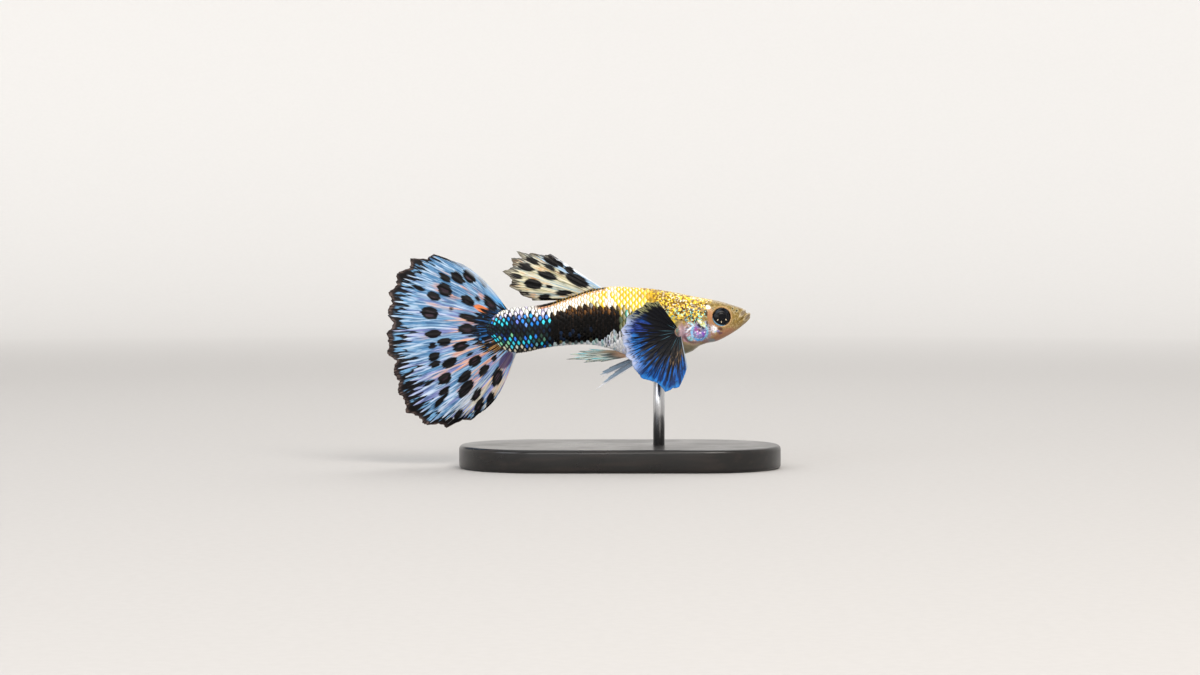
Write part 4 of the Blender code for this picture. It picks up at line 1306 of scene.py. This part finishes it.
# %% Paint the tail fin
TAIL_PAINTS = {
    "spot_dark": """#070608
        #4a3844 0.7   torn -0.20 -0.42  thin 0.45 0.6  wide 0.46 0.54""",
    "tips": """#0b080a
        #6f9fc8 1     thin 0.56 0.62  fine 0.44 0.52
        #0b080a 1     v 0.93 0.97""",
    "colour": """#5282ac
        #7880b4 1     wide 0.46 0.58  u 0.12 0.40
        #82a8c8 0.8   thin 0.44 0.56
        #30527a 0.65  fine 0.54 0.62
        #cad9e8 0.42  fine 0.44 0.36  v 0.20 0.45
        #d4e2f2 0.52  ray 0.40 0.85  v 0.25 0.45  fine 0.60 0.44
        #ccd6ec 0.6   thin 0.50 0.60  u 0.50 0.60  v 0.45 0.6  fine 0.58 0.46
        #cf8a68 0.8   fine 0.60 0.50  warm 0.50 0.60  thin 0.42 0.54  v 0.14 0.24 \
 v 0.80 0.56  u 0.06 0.14 ; peach
        #dda684 0.9   ray 0.55 0.95  v 0.12 0.20  v 0.66 0.36  u 0.2 0.3  warm 0.40 0.50
        #c4b698 0.75  u 0.78 0.88  thin 0.44 0.56 ; cream below
        #e07c40 0.95  orange 1.05 0.8
        #46a8ec 0.85  u 0.10 0.03  v 0.36 0.10
        spot_dark 1   torn 0.08 -0.06
        #060810 1     root 1.03 0.93 ; black round the stalk, with blue and gilt in it
        #2468ac 0.75  root 0.98 0.80  fine 0.54 0.64  u 0.75 0.6
        #2f86cc 0.65  dots 0.26 0.17  root 0.85 0.75  u 0.16 0.24  u 0.66 0.58
        #d09a48 0.85  fine 0.52 0.60  root 1.0 0.9  u 0.50 0.60  v 0.05 0.10
        #3c2a50 0.9   violet 1.1 0.8
        tips 1        border 0.865 0.895
        #2c2322 0.85  fringe 0.950 0.975
        #6a5a54 0.8   fringe 0.965 0.99  fine 0.48 0.58
        #c4d2e2 0.6   u 0.05 0.02  v 0.12 0.3""",
}
tail_finish, tree, at = start_fin("leopard_tail_fin_skin", 15)
place = at["place"]
at |= {
    "torn": frayed(tree, at, at["spot"], thin=0.6, fine=0.55),
    "orange": frayed(tree, at, blotch(tree, place, 34.9, 1.9, 1.45, 0.52, -27), thin=0.9),
    "root": frayed(tree, at, blotch(tree, place, 33.2, -0.75, 3.3, 3.3), thin=1.1, fine=0.5),
    "dots": add(tree, "TexVoronoi", {}, {"Vector": place, "Scale": 1.25}).outputs["Distance"],
    "violet": blotch(tree, place, 31.9, -4.7, 1.4, 0.75, 55),
    "border": frayed(tree, at, at["v"], thin=0.46, wide=0.30, fine=0.16, ray=-0.12),
    "fringe": frayed(tree, at, at["v"], thin=0.10),
}
mix_paints(tree, at, TAIL_PAINTS)
feed(tree, "Base Color", at["colour"])
form = {"net": (15, 16, 84), "place": place_tail, "thick": (0.60, 0.17, 0.20)}
form |= {"spots": TAIL_SPOTS, "centre": TAIL_CENTRE}
make_fin("caudal_fin", tail_finish, "tail_membrane", **form)


# %% [markdown]
# ## The dorsal fin
#
# The dorsal fin leans back over the stalk. It is cream, with a blue-white leading edge,
# sixteen black spots and a black line along its foot, and its rays run from a short root in
# the back to tips that are set one by one.

# %% Shape and paint the dorsal fin
DORSAL_ROOT = ((18.9, 4.5), (22.2, 3.2))
DORSAL_TIPS = chart("""
    26.2 9.3, 28.7 9.45, 30.7 9.65, 31.5 8.8, 32.6 7.0, 31.7 5.0, 30.0 3.8, 28.6 3.1
""")
DORSAL_SPOTS = chart("""
    25.9 8.3 1.25 0.62, 28.55 8.3 1.10 0.36, 23.55 7.1 0.75 0.44, 22.6 5.75 1.75 0.74
    24.55 6.72 0.42 0.20, 26.4 6.35 1.25 0.50, 26.25 7.48 0.70 0.20, 29.3 7.48 1.05 0.48
    28.3 5.25 1.15 0.68, 26.2 4.95 0.42 0.20, 24.3 4.12 1.15 0.36, 26.85 3.55 0.80 0.40
    30.55 6.3 0.85 0.36, 29.55 4.05 0.80 0.34, 30.9 5.4 0.6 0.3, 24.9 8.0 0.75 0.4
""")


def dorsal_sideways(u, v, s):
    """The dorsal fin's gentle wave."""
    return 0.7 * v**1.7 * math.sin(2.2 * math.pi * u + 0.4) + 0.06 * math.sin(40 * u) * v


dorsal_finish, tree, at = start_fin("leopard_dorsal_fin_skin", 8)
at |= {
    "torn": frayed(tree, at, at["spot"], thin=0.6, fine=0.35),
    "foot": frayed(tree, at, at["u"], thin=0.06),
    "border": frayed(tree, at, at["v"], ray=-0.10, thin=0.16),
}
colour = coats(tree, "#b6b08e", at, """
    #93aab2 0.9   wide 0.46 0.56
    #d6d0b2 0.8   thin 0.46 0.56
    #5c6454 0.65  fine 0.54 0.64
    #bf8850 0.9   warm 0.49 0.57  fine 0.54 0.44
    #ece8d4 0.6   ray 0.5 1.0
    #9cc8f0 0.85  u 0.30 0.10  thin 0.40 0.52
    #f4f9ff 0.9   u 0.040 0.015 ; the leading edge
    #070608 1     torn 0.08 -0.06 ; the spots, and the line along the foot
    #070608 1     foot 0.905 0.925  v 0.72 0.62
    #070608 1     v 0.11 0.07  u 0.12 0.22
    #d89238 0.85  foot 0.965 0.98  v 0.75 0.60
    #2f2a28 0.85  border 0.88 0.92
    #a9a494 0.6   border 0.90 0.95  fine 0.52 0.60
""")
feed(tree, "Base Color", colour)
where = ray_place(DORSAL_ROOT, DORSAL_TIPS, ragged(8, 3, 0.02, 0.07), dorsal_sideways)
form = {"net": (8, 16, 60), "place": where, "thick": (0.50, 0.15, 0.18)}
form |= {"spots": DORSAL_SPOTS, "centre": (19.5, 4.0)}
make_fin("dorsal_fin", dorsal_finish, "dorsal_membrane", **form)


# %% [markdown]
# ## The pectoral fins
#
# This guppy has the large pectoral fins that keepers call big ears: round fans, black and
# navy at the root and royal blue beyond, with azure tips below and a pale lilac rim behind.
# Each fan flares out from a fleshy stump. Its rays are set by an angle and a length, as a
# hand fan's sticks are.

# %% Shape the pectoral fins
PECTORAL_ANGLES = (54, -102)
PECTORAL_LENGTHS = (4.9, 5.9, 6.4, 7.3, 7.75, 7.7, 7.7, 7.75, 7.9, 7.4, 8.0, 7.2, 4.6)
PECTORAL_ROOT, PECTORAL_OFF = 0.50, 0.74  # where the rays start, and how far off the flank
pectoral_edge = ragged(13, 11, 0.01, 0.04)
flank = half_width_at(PECTORAL_S, PECTORAL_Z)


def pectoral_place(side):
    """Returns the place function of the left (1) or right (-1) pectoral fin."""

    def place(u, v):
        angle = fan_angle(PECTORAL_ANGLES, u)
        reach = along(PECTORAL_LENGTHS, u)
        ray = PECTORAL_ROOT + (reach - PECTORAL_ROOT) * pectoral_edge(u, v)
        flare = 0.52 * (0.64 + 0.36 * math.sin(math.pi * u))
        out = flank + PECTORAL_OFF + flare * reach * (v - 0.22 * v * v)
        out += 0.14 * v * v * math.sin(7 * math.pi * u)
        s = PECTORAL_S + ray * math.cos(angle)
        return s, side * out, PECTORAL_Z + ray * math.sin(angle)

    return place


print("The longest ray of a pectoral fin is", max(PECTORAL_LENGTHS), "mm")


# %% Paint the pectoral fins
PECTORAL_PAINTS = {
    "blue": """#05285f
        #105cb2 1     thin 0.46 0.58
        #2c409c 0.85  u 0.22 0.27  u 0.38 0.33  thin 0.42 0.52
        #3078c8 0.8   u 0.33 0.38  u 0.66 0.54  v 0.60 0.84  fine 0.58 0.48
        #0f5cae 0.85  u 0.50 0.64  fine 0.48 0.56""",
    "colour": """#04050a
        blue 0.97     reach 0.56 0.84  u 0.14 0.30
        #050812 0.8   fine 0.49 0.56  v 1.08 0.90
        #6fa3b4 0.7   ray 0.6 0.95  v 0.03 0.08  v 0.36 0.12  wide 0.46 0.54
        #8d7250 0.6   fine 0.54 0.62  v 0.20 0.35  v 0.62 0.45  u 0.74 0.84
        #8ea2cc 0.85  rim 0.80 0.94  u 0.18 0.28  u 0.66 0.54  fine 0.62 0.52 ; the rear rim
        #bcc2d8 0.7   rim 0.92 1.0  u 0.20 0.32  u 0.64 0.54
        #8e8e66 0.9   rim 0.76 0.90  u 0.30 0.20  fine 0.56 0.46
        #3f9ae8 0.4   rim 0.90 1.0  u 0.60 0.70
        #b9c6d0 0.7   u 0.978 0.99
        #c9a79a 0.9   v 0.05 0.02""",
}
ear_finish, tree, at = start_fin("blue_pectoral_fin_skin", 13)
at["reach"] = frayed(tree, at, at["v"], thin=1.10, fine=0.50, ray=-0.22)
at["rim"] = frayed(tree, at, at["v"], thin=0.26, fine=0.14)
mix_paints(tree, at, PECTORAL_PAINTS)
feed(tree, "Base Color", at["colour"])
for side, word in SIDES:
    form = {"net": (13, 12, 56), "place": pectoral_place(side), "thick": (0.42, 0.15, 0.20)}
    make_fin(f"pectoral_fin_{word}", ear_finish, "pectoral_membrane", **form)


# %% [markdown]
# ## The anal and pelvic fins
#
# The small fins under the belly are almost clear, so that only their rays show, white along
# the leading edge. In the model that is a grey-green film, lighter on the rays. The anal fin
# of a male is narrow, tan where it leaves the belly, and frays into single rays.

# %% Shape and paint the small fins
ANAL_ROOT = ((16.1, -3.5), (15.7, -4.2))
ANAL_TIPS = ((21.2, -3.2), (22.7, -3.5), (23.6, -3.9), (24.1, -4.55), (21.9, -5.0), (19.6, -4.9))
PELVIC_ROOT = ((13.3, -4.1), (14.3, -3.9))
PELVIC_TIPS = {
    "left": ((19.8, -7.1), (19.7, -6.7), (19.4, -6.25), (18.5, -5.7), (17.6, -5.3)),
    "right": ((20.5, -8.65), (19.4, -7.6), (18.5, -6.8), (17.8, -6.2), (17.1, -5.7)),
}
FILM = (0.36, 0.12, 0.16)

anal_finish, tree, at = start_fin("clear_anal_fin_skin", 6)
colour = coats(tree, "#5f6c6a", at, """
    #1c2326 0.95  thin 0.48 0.58
    #6fc0cc 0.8   wide 0.48 0.58  v 0.35 0.6
    #b4b8a0 0.85  fine 0.52 0.60  v 0.25 0.5
    #d2d6d2 0.9   ray 0.40 0.80  v 0.20 0.45
    #a08c72 0.9   u 0.45 0.15  v 0.70 0.40
    #c4a084 0.85  v 0.34 0.10
""")
feed(tree, "Base Color", colour)


def anal_sideways(u, v, s):
    """The anal fin is almost flat."""
    return 0.2 * v * v * math.sin(2 * math.pi * u)


def pelvic_sideways(side):
    """A pelvic fin turns outwards a little."""
    return lambda u, v, s: side * (0.75 + 0.13 * (s - PELVIC_ROOT[0][0]))


where = ray_place(ANAL_ROOT, ANAL_TIPS, ragged(6, 2, 0.02, 0.22), anal_sideways)
make_fin("anal_fin", anal_finish, "clear_membrane", (6, 12, 44), where, FILM)

pelvic_finish, tree, at = start_fin("clear_pelvic_fin_skin", 5)
colour = coats(tree, "#76889a", at, """
    #36444f 0.8   thin 0.50 0.60
    #8fb2d2 0.5   u 0.10 0.3  u 0.6 0.4
    #cdd6e0 0.9   ray 0.35 0.85
    #eef0fa 0.9   u 0.12 0.06
    #c8b69a 0.7   v 0.20 0.04
""")
feed(tree, "Base Color", colour)
for side, word in SIDES:
    tips, edge = PELVIC_TIPS[word], ragged(5, 5, 0.0, 0.12)
    where = ray_place(PELVIC_ROOT, tips, edge, pelvic_sideways(side))
    make_fin(f"pelvic_fin_{word}", pelvic_finish, "clear_membrane", (5, 12, 40), where, FILM)


# %% [markdown]
# ## The stand
#
# The base is a block of close-grained wood under black lacquer, rubbed to a satin shine, and
# the rod is drawn steel. The base starts as a cube. Its four upright edges are bevelled to
# nearly a half circle, and then the rims of both faces get a small round, as a router leaves
# it. An inset keeps the top flat where it meets that round. The rod is a cylinder as long as
# the model's rod.

# %% Shape the base and the rod
BASE_LONG, BASE_WIDE, BASE_THICK = 42.0, 22.0, 3.0
BASE_CORNER, BASE_EDGE = 10.5, 0.5
ROD_S, ROD_RADIUS = 11.9, 0.75


def make_base():
    """The rounded slab of the base."""
    bm = bmesh.new()
    bmesh.ops.create_cube(bm, size=1)
    size = Vector((BASE_LONG, BASE_WIDE, BASE_THICK)) * MM
    bmesh.ops.scale(bm, vec=size, verts=bm.verts)
    bmesh.ops.translate(bm, vec=(0, 0, size.z / 2), verts=bm.verts)
    upright = [e for e in bm.edges if abs(e.verts[0].co.z - e.verts[1].co.z) > size.z / 2]
    form = {"profile": 0.5, "affect": "EDGES", "material": -1}
    bmesh.ops.bevel(bm, geom=upright, offset=BASE_CORNER * MM, segments=24, **form)
    flats = [f for f in bm.faces if abs(f.normal.z) > 0.9]
    rims = [e for f in flats for e in f.edges]
    bmesh.ops.bevel(bm, geom=rims, offset=BASE_EDGE * MM, segments=5, **form)
    flats = [f for f in bm.faces if abs(f.normal.z) > 0.999 and len(f.verts) > 8]
    bmesh.ops.inset_region(bm, faces=flats, thickness=0.3 * MM, depth=0)
    return bm


def make_rod():
    """The rod, as long as the model's rod, up into the belly."""
    heights = [vert.co.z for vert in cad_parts["stand_rod"].data.vertices]
    low, high = min(heights), max(heights)
    bm = bmesh.new()
    round_form = {"radius1": ROD_RADIUS * MM, "radius2": ROD_RADIUS * MM, "segments": 48}
    bmesh.ops.create_cone(bm, cap_ends=True, depth=high - low, **round_form)
    bmesh.ops.translate(bm, vec=((SNOUT_X - ROD_S) * MM, 0, (high + low) / 2), verts=bm.verts)
    caps = [f for f in bm.faces if len(f.verts) > 4]
    bmesh.ops.inset_region(bm, faces=caps, thickness=0.15 * MM, depth=0)
    return bm


print("The base is", BASE_LONG, "mm long, and the rod", 2 * ROD_RADIUS, "mm thick")


# %% Lacquer and steel
gloss = {"Specular IOR Level": 0.35, "Coat Weight": 0.25, "Coat Roughness": 0.08}
lacquer, tree = new_finish("black_lacquered_wood", gloss)
place = own_place(tree)
# Grain lines 0.8 mm apart run along the base.
values = {"grain": noise(tree, stretched(tree, place, (120, 1250, 1250)), 1.0, 4.0)}
feed(tree, "Base Color", coats(tree, "#0e0c0b", values, "#1c1613 1 grain 0.45 0.70"))
cloud = {"Value": noise(tree, place, 160.0, 3.0), "From Min": 0.3, "From Max": 0.7}
rubbed = add(tree, "MapRange", {}, cloud | {"To Min": 0.24, "To Max": 0.4})
feed(tree, "Roughness", rubbed.outputs[0])
bump(tree, values["grain"], 0.2, 0.04)

steel, tree = new_finish("drawn_steel", {"Roughness": 0.26, "Metallic": 1.0})
# Drawing lines 0.1 mm apart run up the rod.
values = {"lines": noise(tree, stretched(tree, own_place(tree), (10000, 10000, 150)), 1.0, 3.0)}
feed(tree, "Base Color", coats(tree, "#a9a9ab", values, "#c9cacc 1 lines 0.4 0.6"))
bump(tree, values["lines"], 0.3, 0.02)

base = settle("display_base", make_base(), lacquer, ["stand_base"])
rod = settle("display_rod", make_rod(), steel, ["stand_rod"])
print("The base has", len(base.data.polygons), "faces, and the rod", len(rod.data.polygons))
